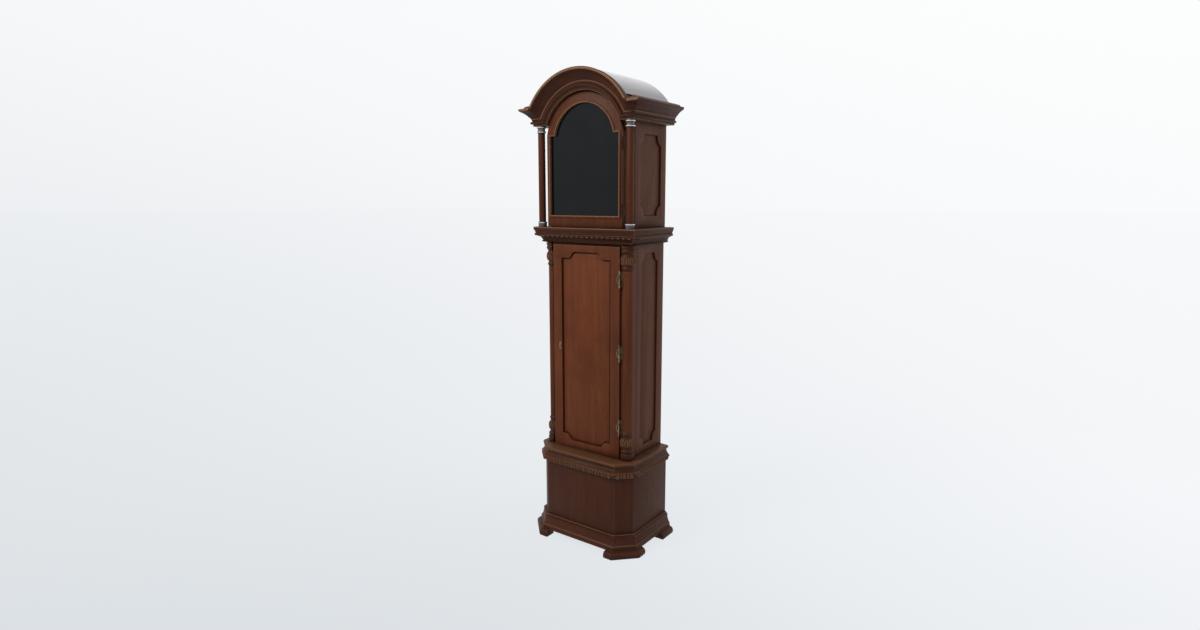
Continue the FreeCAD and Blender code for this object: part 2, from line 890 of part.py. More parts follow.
def quarter_column():
    """A reeded quarter column that stands in the niche of its post."""
    across = size.quarter_column_half
    depth = size.quarter_column_depth
    radius = size.quarter_shaft_radius
    corner_across = size.post_outer_half + size.sliding_gap
    corner_depth = size.niche_depth + size.sliding_gap
    step = math.radians(REED_FINISH_DEGREES - REED_START_DEGREES) / REED_COUNT
    reed_radius = radius * (2 * math.sin(step / 2) * REED_SWELL_SHARE)
    outline = [(corner_across, corner_depth)]
    for number in range(REED_COUNT + 1):
        angle = math.radians(REED_START_DEGREES) + number * step
        point = (across + radius * math.cos(angle), depth + radius * math.sin(angle))
        outline.append(point if number == 0 else (*point, reed_radius))
    return board("quarter_column_right", "plan", size.quarter_shaft_bottom,
                 size.quarter_shaft_top, outline)


FOOT_END_SHARES = [(1, 0), (1, 0.21), (0.86, 0.235), (0.86, 0.26), (0.97, 0.31, 0.05),
                   (0.8, 0.38, 0.07), (0.76, 0.44), (0.9, 0.6, 0.25), (0.7, 0.82, 0.4),
                   (0.79, 0.86), (0.72, 0.9), (0.84, 0.94), (0.69, 1)]
HEAD_END_SHARES = [(0.69, 0), (0.84, 0.08), (0.84, 0.13), (0.7, 0.2), (0.9, 0.42, 0.4),
                   (0.76, 0.66, 0.28), (0.86, 0.72), (0.97, 0.8, 0.1), (0.88, 0.88, 0.1),
                   (1, 0.93), (1, 1)]


def turned_outline(shares, radius, bottom, height):
    """Half the outline of a turned piece, from its axis out and back."""
    outline = [(0, bottom)]
    for radius_share, height_share, *bend_share in shares:
        corner = (radius * radius_share, bottom + height * height_share)
        if bend_share:
            corner += (height * bend_share[0], *bend_share[1:])
        outline.append(corner)
    outline.append((0, bottom + height * shares[-1][1]))
    return outline


def turned_body(name, across, depth, outline):
    """A body turned about an upright axis at its own place."""
    body = new_body(name)
    body.setExpression("Placement.Base.x", formula_of(across))
    body.setExpression("Placement.Base.y", formula_of(back - depth))
    revolved(body, "front", ZERO, outline)
    return body


def quarter_column_end(name, shares, bottom, top):
    """A turned end, cut away where the post stands."""
    turned = turned_body(name + "_turning", size.quarter_column_half, size.quarter_column_depth,
                         turned_outline(shares, size.quarter_end_radius, bottom, top - bottom))
    post = size.post_outer_half + size.sliding_gap
    niche = size.niche_depth + size.sliding_gap
    side = size.trunk_half_width + size.sliding_gap
    behind = niche - size.board
    outer = size.quarter_column_half + size.quarter_end_radius + size.board
    front = size.quarter_column_depth + size.quarter_end_radius + size.board
    allowed = board(name + "_room", "plan", bottom, top,
                    [(post, niche), (side, niche), (side, behind), (outer, behind),
                     (outer, front), (post, front)])
    piece = doc.addObject("Part::Common", name)
    piece.Label = name
    piece.Base = turned
    piece.Tool = allowed
    return piece


def quarter_column_ends():
    foot = quarter_column_end("quarter_foot_right", FOOT_END_SHARES,
                              size.base_moulding_level + size.base_moulding_height,
                              size.quarter_shaft_bottom)
    head = quarter_column_end("quarter_head_right", HEAD_END_SHARES, size.quarter_shaft_top,
                              size.waist_level)
    return group("quarter_column_ends", foot, head, mirrored("quarter_foot_left", foot),
                 mirrored("quarter_head_left", head))


# Trunk door

def s_curve(outline, across, up, turns_right_first):
    """Adds two equal arcs that leave and arrive level, from the outline's last corner."""
    last_across, last_up = outline[-1][:2]
    run = across - last_across
    rise = up - last_up
    radius = (run * run + rise * rise) / (rise * 4)
    middle = ((last_across + across) / 2, (last_up + up) / 2, radius)
    end = (across, up, radius)
    if turns_right_first:
        outline += [(*middle, "right"), end]
    else:
        outline += [middle, (*end, "right")]


def door_recess(margin):
    """The shaped recess of the trunk door, drawn in by a margin all round."""
    half = size.door_recess_half - margin
    bottom = size.door_recess_bottom + margin
    low_shoulder = bottom + size.door_recess_bottom_rise
    top = size.door_recess_top - margin
    high_shoulder = top - size.door_recess_top_drop
    outline = [(-size.door_recess_bottom_flat, bottom), (size.door_recess_bottom_flat, bottom)]
    s_curve(outline, size.door_recess_bottom_shoulder, low_shoulder, False)
    outline += [(half, low_shoulder), (half, high_shoulder)]
    outline += [(size.door_recess_top_shoulder, high_shoulder)]
    s_curve(outline, size.door_recess_top_flat, top, True)
    outline += [(-size.door_recess_top_flat, top)]
    right = outline[2:9]
    mirrored_side = []
    for number in range(len(right)):
        here = right[-1 - number]
        bend = right[-number][2:] if number else ()
        mirrored_side.append((-here[0], here[1], *bend))
    closing = (*outline[0][:2], *right[0][2:])
    return [closing, outline[1]] + right + [outline[9]] + mirrored_side[1:]


def door_front():
    return size.trunk_front_depth + size.sliding_gap + size.door_lip


def door_back():
    return size.trunk_front_depth + size.sliding_gap - size.door_rebate


def trunk_door_frame():
    """The door's frame: a lip over the posts and a rebate that enters the opening."""
    half = size.door_half_width
    lip_back = size.trunk_front_depth + size.sliding_gap
    inner = size.post_inner_half - size.door_fit
    bottom = size.plinth_top_level + size.rail_bottom_height + size.door_fit
    top = size.trunk_top_level - size.rail_top_height - size.door_fit
    body = board("trunk_door_frame", "front", lip_back, door_front(),
                 box_outline(-half, half, size.door_bottom_level, size.door_top_level), door_recess(0))
    pad(body, "front", door_back(), lip_back, box_outline(-inner, inner, bottom, top), door_recess(0))
    return body


def trunk_door_panel():
    """The panel behind the recess, with a raised field."""
    face = door_back() + size.door_panel_thick
    body = board("trunk_door_panel", "front", door_back(), face, door_recess(size.sliding_gap))
    pad(body, "front", face, face + size.door_panel_field, door_recess(size.door_panel_margin))
    return body


def trunk_door_escutcheon():
    centre = -size.escutcheon_half
    half = size.escutcheon_width / 2
    reach = size.escutcheon_height / 2 - half
    level = size.lock_level
    keyhole = size.keyhole_radius
    outline = [(centre + half, level - reach), (centre + half, level + reach),
               (centre, level + reach + half, half), (centre - half, level + reach, half),
               (centre - half, level - reach), (centre, level - reach - half, half)]
    outline[0] = (*outline[0], half)
    return board("trunk_door_escutcheon", "front", door_front(),
                 door_front() + size.escutcheon_thick, outline, Disc(centre, level, keyhole))


def bolt_front():
    return size.trunk_front_depth - size.board - size.sliding_gap


def trunk_door_lock():
    """The lock's case on the back of the door, with a channel for its bolt."""
    left = size.door_fit / 2 - size.post_inner_half + size.door_fit
    half = size.lock_height / 2
    level = size.lock_level
    body = board("trunk_door_lock", "front", door_back() - size.lock_depth, door_back(),
                 box_outline(left, left + size.lock_width, level - half, level + half))
    room = size.bolt_height / 2 + size.sliding_gap
    pocket(body, "front", bolt_front() - size.bolt_thick - size.sliding_gap,
           bolt_front() + size.sliding_gap,
           box_outline(left - size.board, left + size.lock_width + size.board,
                       level - room, level + room))
    return body


def trunk_lock_bolt():
    left = size.door_fit / 2 - size.post_inner_half + size.door_fit
    half = size.bolt_height / 2
    return board("trunk_lock_bolt", "front", bolt_front() - size.bolt_thick, bolt_front(),
                 box_outline(left, left + size.bolt_length, size.lock_level - half,
                             size.lock_level + half))


# Hinges

def thirds(middle, height):
    """The three knuckles of a hinge, from the bottom up, as pairs of levels."""
    start = middle - height / 2
    return [(start + height * number / 3, start + height * (number + 1) / 3) for number in range(3)]


def fixed_leaf(name, middle, height, across, depth, knuckle, pin, leaves, necks):
    """The leaf on the case: outer knuckles, the pin and a plate."""
    body = new_body(name)
    lower, between, upper = thirds(middle, height)
    pad(body, "plan", lower[0], upper[1], *leaves)
    pad(body, "plan", lower[0], upper[1], Disc(across, depth, pin))
    for bottom, top in (lower, upper):
        pad(body, "plan", bottom, top, Disc(across, depth, knuckle))
        pad(body, "plan", bottom, top, *necks)
    return body


def moving_leaf(name, middle, height, across, depth, knuckle, pin, leaf, neck):
    """The leaf on the door: the middle knuckle and a plate."""
    body = new_body(name)
    lower, between, upper = thirds(middle, height)
    bottom = between[0] + size.sliding_gap
    top = between[1] - size.sliding_gap
    pad(body, "plan", lower[0], upper[1], leaf)
    pad(body, "plan", bottom, top, neck)
    pad(body, "plan", bottom, top, Disc(across, depth, knuckle))
    pocket(body, "plan", bottom - size.sliding_gap, top + size.sliding_gap,
           Disc(across, depth, pin + size.running_gap))
    return body


def trunk_hinge_levels():
    return [size.trunk_hinge_low, size.trunk_hinge_mid, size.trunk_hinge_high]


def trunk_hinge_case_leaves():
    across = size.trunk_hinge_half
    depth = size.trunk_hinge_depth
    knuckle = size.trunk_knuckle_radius
    face = size.trunk_front_depth
    web = across + size.trunk_pin_radius
    clear = depth - knuckle - size.sliding_gap
    top = face + size.trunk_leaf
    outer = web + size.trunk_leaf
    plate = [(web, face), (size.post_outer_half, face), (size.post_outer_half, top),
             (outer, top), (outer, clear), (web, clear)]
    neck = box_outline(web, outer, clear, depth)
    return group("trunk_hinge_case_leaves", *[
        fixed_leaf("trunk_hinge_case_leaf_%d" % number, level, size.trunk_hinge_height, across,
                   depth, knuckle, size.trunk_pin_radius, [plate], [neck])
        for number, level in enumerate(trunk_hinge_levels())])


def trunk_hinge_door_leaves():
    across = size.trunk_hinge_half
    depth = size.trunk_hinge_depth
    knuckle = size.trunk_knuckle_radius
    edge = across - knuckle - size.sliding_gap
    leaf = box_outline(size.door_half_width - size.trunk_leaf_reach, edge, door_front(),
                       door_front() + size.trunk_leaf)
    neck = box_outline(edge, size.door_half_width, door_front(), door_front() + size.trunk_leaf)
    return group("trunk_hinge_door_leaves", *[
        moving_leaf("trunk_hinge_door_leaf_%d" % number, level, size.trunk_hinge_height, across,
                    depth, knuckle, size.trunk_pin_radius, leaf, neck)
        for number, level in enumerate(trunk_hinge_levels())])


def hood_hinge_levels():
    return [size.hood_hinge_low, size.hood_hinge_high]


def hood_hinge_leaves():
    across = size.hood_hinge_half
    depth = size.hood_hinge_depth
    face = size.hood_post_front_half
    clear = depth - size.hood_knuckle_radius - size.sliding_gap
    outer = face + size.hood_leaf
    plate = box_outline(face, outer, size.hood_front_depth - size.hood_leaf_reach, clear)
    neck = box_outline(face, outer, clear, depth)
    return group("hood_hinge_leaves", *[
        fixed_leaf("hood_hinge_leaf_%d" % number, level, size.hood_hinge_height, across, depth,
                   size.hood_knuckle_radius, size.hood_pin_radius, [plate], [neck])
        for number, level in enumerate(hood_hinge_levels())])


def hood_door_hinge_leaves():
    across = size.hood_hinge_half
    depth = size.hood_hinge_depth
    edge = size.hood_door_half
    clear = depth - size.hood_knuckle_radius - size.sliding_gap
    leaf = box_outline(edge, edge + size.hood_leaf, size.hood_door_back, clear)
    neck = box_outline(edge, edge + size.hood_leaf, clear, depth - size.hood_pin_radius)
    return group("hood_door_hinge_leaves", *[
        moving_leaf("hood_door_hinge_leaf_%d" % number, level, size.hood_hinge_height, across,
                    depth, size.hood_knuckle_radius, size.hood_pin_radius, leaf, neck)
        for number, level in enumerate(hood_hinge_levels())])


# Hood

HOOD_FRAME_SHARES = [(0.858, 0), (0.905, 0.31, 0.6), (1, 0.7, 0.8), (0.978, 1, 0.4)]


def hood_bottom():
    return size.waist_level + size.waist_height + size.sliding_gap


def hood_floor():
    """The top of the hood's base frame, on which its sides, posts and columns stand."""
    return hood_bottom() + size.hood_frame_height


def hood_base_frame():
    inset = size.trunk_half_width - size.hood_side_inner
    outline = section(HOOD_FRAME_SHARES, size.hood_frame_projection, size.hood_frame_height,
                      hood_bottom(), inset)
    return coded("hood_base_frame", mitred_lengths(outline, waist_corners()))


def hood_opening(gap):
    return tidy(notched_outline(
        size.hood_panel_back + gap, size.hood_panel_front - gap,
        size.hood_panel_bottom + gap, size.hood_panel_top - gap,
        size.hood_panel_notch_wide, size.hood_panel_notch_high, size.hood_notch_radius))


def hood_side():
    front = size.hood_side_front
    outline = [(0, hood_floor()), (front, hood_floor()), (front, size.cornice_level),
               (size.arch_head_back, size.cornice_level), (size.arch_head_back, size.hood_side_top),
               (0, size.hood_side_top)]
    return board("hood_side_right", "side", size.hood_side_inner, size.hood_side_outer, outline,
                 hood_opening(0))


def hood_side_panels():
    outer = size.hood_side_outer - size.side_panel_recess
    right = board("hood_side_panel_right", "side", outer - size.side_panel, outer,
                  hood_opening(size.sliding_gap))
    left = mirrored("hood_side_panel_left", right)
    return group("hood_side_panels", right, left)


def arch_head():
    """The board with the arch, which closes the hood's front over the door."""
    shoulder = size.arch_shoulder_level
    inner = leg(size.arch_opening_radius, shoulder - size.arch_level)
    narrow = size.hood_side_inner
    wide = size.hood_side_outer
    radius = size.roof_radius - size.roof_thick
    rise = size.arch_level + leg(radius, wide)
    outline = [(inner, shoulder, size.arch_opening_radius, "right"), (narrow, shoulder),
               (narrow, size.cornice_level), (wide, size.cornice_level), (wide, rise),
               (-wide, rise, radius), (-wide, size.cornice_level), (-narrow, size.cornice_level),
               (-narrow, shoulder), (-inner, shoulder)]
    return board("arch_head", "front", size.arch_head_back, size.hood_front_depth, outline)


def hood_front_frame():
    inner = size.hood_post_inner
    behind = size.hood_side_front - size.board
    outline = [(inner, behind), (size.hood_side_inner, behind),
               (size.hood_side_inner, size.hood_side_front),
               (size.hood_post_front_half, size.hood_side_front),
               (size.hood_post_front_half, size.hood_front_depth), (inner, size.hood_front_depth)]
    right = board("hood_post_right", "plan", hood_floor(), size.arch_shoulder_level, outline)
    left = mirrored("hood_post_left", right)
    return group("hood_front_frame", right, left, arch_head())


def hood_roof():
    """The bent board of the roof, from one side of the cornice over to the other."""
    outer = size.roof_radius
    inner = outer - size.roof_thick
    foot = size.cornice_level + size.cornice_height
    rise = foot - size.arch_level
    outline = [(leg(inner, rise), foot, inner, "right"), (leg(outer, rise), foot),
               (-leg(outer, rise), foot, outer), (-leg(inner, rise), foot)]
    return board("hood_roof", "front", ZERO, size.roof_front, outline)


# Broken-arch cornice

CORNICE_FACE_SHARES = [(0.4775, 0), (0.4645, 0.0835), (0.591, 0.151, 0.09), (0.502, 0.209, 0.09),
                       (0.54, 0.311), (0.655, 0.427, 0.5, "right"), (0.854, 0.585, 0.6, "right"),
                       (0.98, 0.647), (1, 0.76, 0.08)]
CORNICE_TOP_SHARES = [(0.85, 0.778), (0.755, 0.867), (0.526, 0.934), (0.219, 1)]
ARCH_RUN_DEGREES = 75


def cornice_level_at(share):
    return size.cornice_level + size.cornice_height * share


def arch_radius_at(share):
    """The radius of the arch where the straight cornice has reached a share of its height."""
    return size.cornice_soffit_radius + size.cornice_height * share * size.cornice_stretch


def mitre_point(share):
    """Where a level line of the shoulder meets the same line of the arch, seen from the front."""
    level = value_of(cornice_level_at(share))
    radius = value_of(arch_radius_at(share))
    rise = level - value_of(size.arch_level)
    return Vector(math.sqrt(radius * radius - rise * rise), 0, level)


def between_mitres():
    """The block between the two mitre planes, widening upward."""
    low = mitre_point(CORNICE_FACE_SHARES[0][1])
    rim = mitre_point(CORNICE_FACE_SHARES[-1][1])
    slope = (rim - low) / (rim.z - low.z)
    bottom = low - slope * value_of(size.board)
    top = low + slope * value_of(size.roof_radius)
    corners = [Vector(-bottom.x, 0, bottom.z), bottom, top, Vector(-top.x, 0, top.z)]
    reach = value_of(size.overall_depth)
    return Part.Face(Part.makePolygon(corners + corners[:1])).extrude(Vector(0, -reach, 0))


def arch_moulding():
    """The cornice's section, stretched outward and turned about the arch's centre."""
    datum = value_of(size.cornice_front_depth)
    roof_end = size.roof_front - size.cornice_front_depth
    seat = size.hood_front_depth - size.cornice_front_depth
    outer = size.roof_radius
    inner = outer - size.roof_thick
    outline = []
    for across_share, up_share, *bend_share in CORNICE_FACE_SHARES:
        corner = (size.cornice_projection * across_share, arch_radius_at(up_share))
        if bend_share:
            corner += (size.cornice_height * bend_share[0] * size.cornice_stretch, *bend_share[1:])
        outline.append(corner)
    outline += [(size.cornice_projection * CORNICE_TOP_SHARES[0][0], outer), (roof_end, outer),
                (roof_end, inner), (seat, inner), (seat, size.cornice_soffit_radius)]
    face = face_of(outline)
    upright = FreeCAD.Rotation(Vector(0, -1, 0), Vector(0, 0, 1), Vector(0, 0, 0), "XYZ")
    centre = Vector(0, -datum, value_of(size.arch_level))
    face.Placement = FreeCAD.Placement(centre, upright)
    face.rotate(centre, Vector(0, 1, 0), -ARCH_RUN_DEGREES)
    return face.revolve(centre, Vector(0, 1, 0), ARCH_RUN_DEGREES * 2)


def hood_cornice():
    """The broken-arch cornice: an arch, two shoulders and two sides, all mitred together."""
    half = size.hood_side_outer
    depth = size.cornice_front_depth
    corners = plan_points((-half, 0), (-half, depth), (half, depth), (half, 0))
    front_depth = size.hood_front_depth
    outline = section(CORNICE_FACE_SHARES + CORNICE_TOP_SHARES, size.cornice_projection,
                      size.cornice_height, size.cornice_level, ZERO)
    plan = plan_points((-half, 0), (-half, front_depth), (half, front_depth), (half, 0))
    hood = prism(plan, value_of(hood_floor()), value_of(size.arch_level + size.roof_radius))
    left, front, right = [length.cut(hood).Solids[0] for length in mitred_lengths(outline, corners)]
    middle = between_mitres()
    shoulders = front.cut(middle).Solids
    arch = arch_moulding().common(middle).Solids[0]
    sides = [side.cut(arch).Solids[0] for side in (left, right)]
    return coded("hood_cornice", [arch] + shoulders + sides)


# Hood columns

def hood_column():
    return board("hood_column_right", "plan", hood_floor() + size.hood_column_base_height,
                 size.cornice_level - size.hood_column_cap_height,
                 Disc(size.hood_column_half, size.hood_column_depth, size.hood_column_radius))


COLUMN_BASE_SHARES = [(0.93, 0), (0.93, 0.73), (1, 0.73), (1, 1)]
COLUMN_CAP_SHARES = [(0.97, 0), (0.97, 0.21), (0.8, 0.21), (0.8, 0.7), (1, 0.7), (1, 1)]


def hood_column_mounts():
    radius = size.hood_column_ring_radius
    base = turned_body("hood_column_base", size.hood_column_half, size.hood_column_depth,
                       turned_outline(COLUMN_BASE_SHARES, radius, hood_floor(),
                                      size.hood_column_base_height))
    cap = turned_body("hood_column_cap", size.hood_column_half, size.hood_column_depth,
                      turned_outline(COLUMN_CAP_SHARES, radius,
                                     size.cornice_level - size.hood_column_cap_height,
                                     size.hood_column_cap_height))
    return group("hood_column_mounts", base, cap, mirrored("hood_column_base_left", base),
                 mirrored("hood_column_cap_left", cap))


# Hood door

def sight_outline(grow):
    """The opening of the hood door, grown by an amount all round."""
    half = size.sight_half + grow
    shoulder = size.arch_shoulder_level + grow
    radius = size.sight_arch_radius + grow
    inner = leg(radius, shoulder - size.arch_level)
    bottom = size.sight_bottom - grow
    return [(-half, bottom), (half, bottom), (half, shoulder), (inner, shoulder),
            (-inner, shoulder, radius), (-half, shoulder)]


def hood_door_frame():
    half = size.hood_door_half
    spring = size.arch_level + leg(size.hood_door_arch, half)
    outline = [(-half, size.hood_door_bottom), (half, size.hood_door_bottom), (half, spring),
               (-half, spring, size.hood_door_arch)]
    body = board("hood_door_frame", "front", size.hood_door_back, size.hood_door_front, outline,
                 sight_outline(0))
    pad(body, "front", size.hood_door_front, size.hood_door_front + size.glass_lip_proud,
        sight_outline(size.glass_lip_width), sight_outline(0))
    pocket(body, "front", size.hood_door_back, size.glass_back + size.glass_thick,
           sight_outline(size.glass_rebate))
    return body


def hood_door_glass():
    return board("hood_door_glass", "front", size.glass_back, size.glass_back + size.glass_thick,
                 sight_outline(size.glass_rebate - size.sliding_gap))


# Seat of the movement

def seat_supports():
    inner = size.trunk_half_width - size.board
    right = board("seat_support_right", "side", inner - size.seat_support_thick, inner,
                  box_outline(size.seat_support_back, size.seat_front, size.seat_support_bottom,
                              size.seat_level - size.board))
    return group("seat_supports", right, mirrored("seat_support_left", right))


def line_reach():
    """How far the line hangs from the barrel's axis, and from the pulley's."""
    return size.barrel_radius + size.line_radius


def seat_board():
    """The board under the movement, notched for the pendulum and bored for the line."""
    half = size.seat_half_width
    slot = size.seat_slot_half
    notch = size.back_plate - size.plate_thick
    outline = [(-half, size.seat_back), (-slot, size.seat_back), (-slot, notch), (slot, notch),
               (slot, size.seat_back), (half, size.seat_back), (half, size.seat_front),
               (-half, size.seat_front)]
    holes = [Disc(size.great_across + side, size.line_depth, size.line_hole_radius)
             for side in (-line_reach(), line_reach())]
    return board("seat_board", "plan", size.seat_level - size.board, size.seat_level, outline, *holes)


# Places of the arbors, seen from the front

GREAT_TEETH = 96
CENTRE_TEETH = 60
CENTRE_LEAVES = 8
THIRD_TEETH = 56
THIRD_LEAVES = 8
ESCAPE_TEETH = 30
ESCAPE_LEAVES = 7
CANNON_TEETH = 24
MINUTE_TEETH = 48
MINUTE_LEAVES = 8
HOUR_TEETH = 48


def centre_place():
    return ZERO, size.dial_centre


def great_place():
    spread = size.centre_module * ((GREAT_TEETH + CENTRE_LEAVES) / 2)
    return size.great_across, size.dial_centre - leg(spread, size.great_across)


def third_place():
    spread = size.centre_module * ((CENTRE_TEETH + THIRD_LEAVES) / 2)
    return -size.third_across, size.dial_centre + leg(spread, size.third_across)


def escape_place():
    spread = size.third_module * ((THIRD_TEETH + ESCAPE_LEAVES) / 2)
    return ZERO, third_place()[1] + leg(spread, size.third_across)


def anchor_place():
    """The anchor's arbor stands where lines at half a right angle leave the wheel's rim."""
    return ZERO, escape_place()[1] + size.escape_radius * math.sqrt(2)


def minute_place():
    spread = size.motion_module * ((CANNON_TEETH + MINUTE_TEETH) / 2)
    return -size.motion_across, size.dial_centre - leg(spread, size.motion_across)


def direction(start, end):
    """The direction from one arbor to another, in radians from the level."""
    return math.atan2(value_of(end[1]) - value_of(start[1]), value_of(end[0]) - value_of(start[0]))


def placed_body(name, place, depth):
    """A body whose own middle lies on an arbor, at a depth."""
    body = new_body(name)
    body.setExpression("Placement.Base.x", formula_of(place[0]))
    body.setExpression("Placement.Base.y", formula_of(back - depth))
    body.setExpression("Placement.Base.z", formula_of(place[1]))
    return body


# Teeth
# Shares of the module above and below the pitch circle, and shares of the pitch that a
# tooth keeps on each side of its middle at its tip and at its root.

WHEEL_TOOTH_SHARES = (1.0, 1.2, 0.05, 0.22)
LEAF_SHARES = (0.5, 1.15, 0.08, 0.13)


def in_front(place, depth):
    """A point at an arbor's place and a depth."""
    return Vector(value_of(place[0]), -value_of(depth), value_of(place[1]))


def forward_block(points, place, start, finish):
    """A block on an outline about an arbor, between two depths."""
    origin = in_front(place, start)
    corners = [origin + Vector(across, 0, up) for across, up in points]
    face = Part.Face(Part.makePolygon(corners + corners[:1]))
    return face.extrude(Vector(0, -value_of(finish - start), 0))


def rod(place, start, finish, radius):
    forward = Vector(0, -1, 0)
    return Part.makeCylinder(value_of(radius), value_of(finish - start), in_front(place, start),
                             forward)


def polar(radius, angle):
    return (value_of(radius) * math.cos(angle), value_of(radius) * math.sin(angle))


def toothed(place, start, finish, count, module, shares, angle, gap_there):
    """A toothed ring with a tooth, or a gap, that points in a given direction."""
    above, below, tip_share, root_share = shares
    outer = module * (count / 2 + above)
    root = module * (count / 2 - below)
    pitch = 2 * math.pi / count
    middle = angle + pitch / 2 if gap_there else angle
    points = []
    for number in range(count):
        tooth = middle + number * pitch
        points += [polar(root, tooth - root_share * pitch), polar(outer, tooth - tip_share * pitch),
                   polar(outer, tooth + tip_share * pitch), polar(root, tooth + root_share * pitch)]
    return forward_block(points, place, start, finish)


CROSSING_COUNT = 4


def crossings(place, start, finish, rim, hub, arm):
    """The openings between the four arms of a wheel."""
    ring = rod(place, start, finish, rim).cut(rod(place, start, finish, hub))
    reach = value_of(rim)
    half = value_of(arm) / 2
    level = forward_block(box_outline(-reach, reach, -half, half), place, start, finish)
    upright = forward_block(box_outline(-half, half, -reach, reach), place, start, finish)
    return ring.cut(level).cut(upright)


def crossed_wheel(place, start, count, module, partner):
    """A wheel with four arms, in mesh with a pinion on a neighbouring arbor."""
    finish = start + size.wheel_thick
    wheel = toothed(place, start, finish, count, module, WHEEL_TOOTH_SHARES,
                    direction(place, partner), False)
    hub = size.hub_radius
    rim = module * (count / 2 - CROSSING_COUNT)
    return wheel.cut(crossings(place, start, finish, rim, hub, hub / 2))


def pinion(place, middle, reach, count, module, partner):
    """A long pinion, whose gap takes the tooth of its wheel."""
    return toothed(place, middle - reach, middle + reach, count, module, LEAF_SHARES,
                   direction(place, partner), True)


def arbor(place, ahead=None):
    """An arbor between the plates, with a pivot at each plate that doesn't let it through."""
    inner_back = size.back_plate + size.plate_thick + size.sliding_gap
    inner_front = size.front_plate - size.sliding_gap
    pivot = rod(place, size.back_plate, inner_back, size.pivot_radius)
    if ahead is not None:
        return [pivot, rod(place, inner_back, ahead, size.arbor_radius)]
    front_pivot = rod(place, inner_front, size.front_plate + size.plate_thick, size.pivot_radius)
    return [pivot, rod(place, inner_back, inner_front, size.arbor_radius), front_pivot]


def joined(name, first, others, *cuts):
    """One piece made of several blocks, less what is cut from it."""
    shape = first.multiFuse(others) if others else first
    for cut in cuts:
        shape = shape.cut(cut)
    return coded(name, shape.Solids)


def great_wheel():
    """The great wheel, which rides on the barrel's arbor."""
    place = great_place()
    start = size.great_wheel_depth
    finish = start + size.wheel_thick
    hub = size.great_hub_radius
    wheel = toothed(place, start, finish, GREAT_TEETH, size.centre_module, WHEEL_TOOTH_SHARES,
                    direction(place, centre_place()), False)
    rim = size.centre_module * (GREAT_TEETH / 2 - CROSSING_COUNT)
    wheel = wheel.cut(crossings(place, start, finish, rim, size.great_arm, hub))
    collet = rod(place, start - size.wheel_thick, finish + size.wheel_thick, hub)
    bore = rod(place, start - size.wheel_thick, finish + size.wheel_thick,
               size.barrel_arbor_radius + size.running_gap)
    return joined("great_wheel", wheel, [collet], bore)


def barrel():
    """The barrel that winds up the line, with the arbor that the key turns."""
    drum = rod(great_place(), size.barrel_back, size.barrel_front, size.barrel_radius)
    square = rod(great_place(), size.back_plate, dial_face(), size.barrel_arbor_radius)
    return joined("barrel", drum, [square])


def centre_wheel():
    place = centre_place()
    wheel = crossed_wheel(place, size.centre_wheel_depth, CENTRE_TEETH, size.centre_module,
                          third_place())
    middle = size.great_wheel_depth + size.wheel_thick / 2
    leaves = pinion(place, middle, size.pinion_thick / 2, CENTRE_LEAVES, size.centre_module,
                    great_place())
    end = hand_depth() + size.hand_thick * 2 + size.hand_gap * 2
    return joined("centre_wheel", wheel, [leaves, *arbor(place, end)])


def third_wheel():
    place = third_place()
    wheel = crossed_wheel(place, size.third_wheel_depth, THIRD_TEETH, size.third_module, escape_place())
    middle = size.centre_wheel_depth + size.wheel_thick / 2
    leaves = pinion(place, middle, size.pinion_thick / 2, THIRD_LEAVES, size.centre_module,
                    centre_place())
    return joined("third_wheel", wheel, [leaves, *arbor(place)])


ESCAPE_TIP_SHARE = 0.03
ESCAPE_ROOT_SHARE = 0.12


def escape_wheel():
    """The escape wheel, with slender pointed teeth; one of them points to the right."""
    place = escape_place()
    start = size.escape_wheel_depth
    finish = start + size.wheel_thick
    root = size.escape_radius - size.escape_tooth
    pitch = 2 * math.pi / ESCAPE_TEETH
    points = []
    for number in range(ESCAPE_TEETH):
        tooth = number * pitch
        points += [polar(root, tooth - ESCAPE_ROOT_SHARE * pitch),
                   polar(size.escape_radius, tooth - ESCAPE_TIP_SHARE * pitch),
                   polar(size.escape_radius, tooth + ESCAPE_TIP_SHARE * pitch),
                   polar(root, tooth + ESCAPE_ROOT_SHARE * pitch)]
    hub = size.hub_radius
    wheel = forward_block(points, place, start, finish)
    wheel = wheel.cut(crossings(place, start, finish, root - size.escape_tooth / 2, hub, hub / 2))
    middle = size.third_wheel_depth + size.wheel_thick / 2
    leaves = pinion(place, middle, size.pinion_thick / 2, ESCAPE_LEAVES, size.third_module,
                    third_place())
    return joined("escape_wheel", wheel, [leaves, *arbor(place)])


# Escapement and pendulum

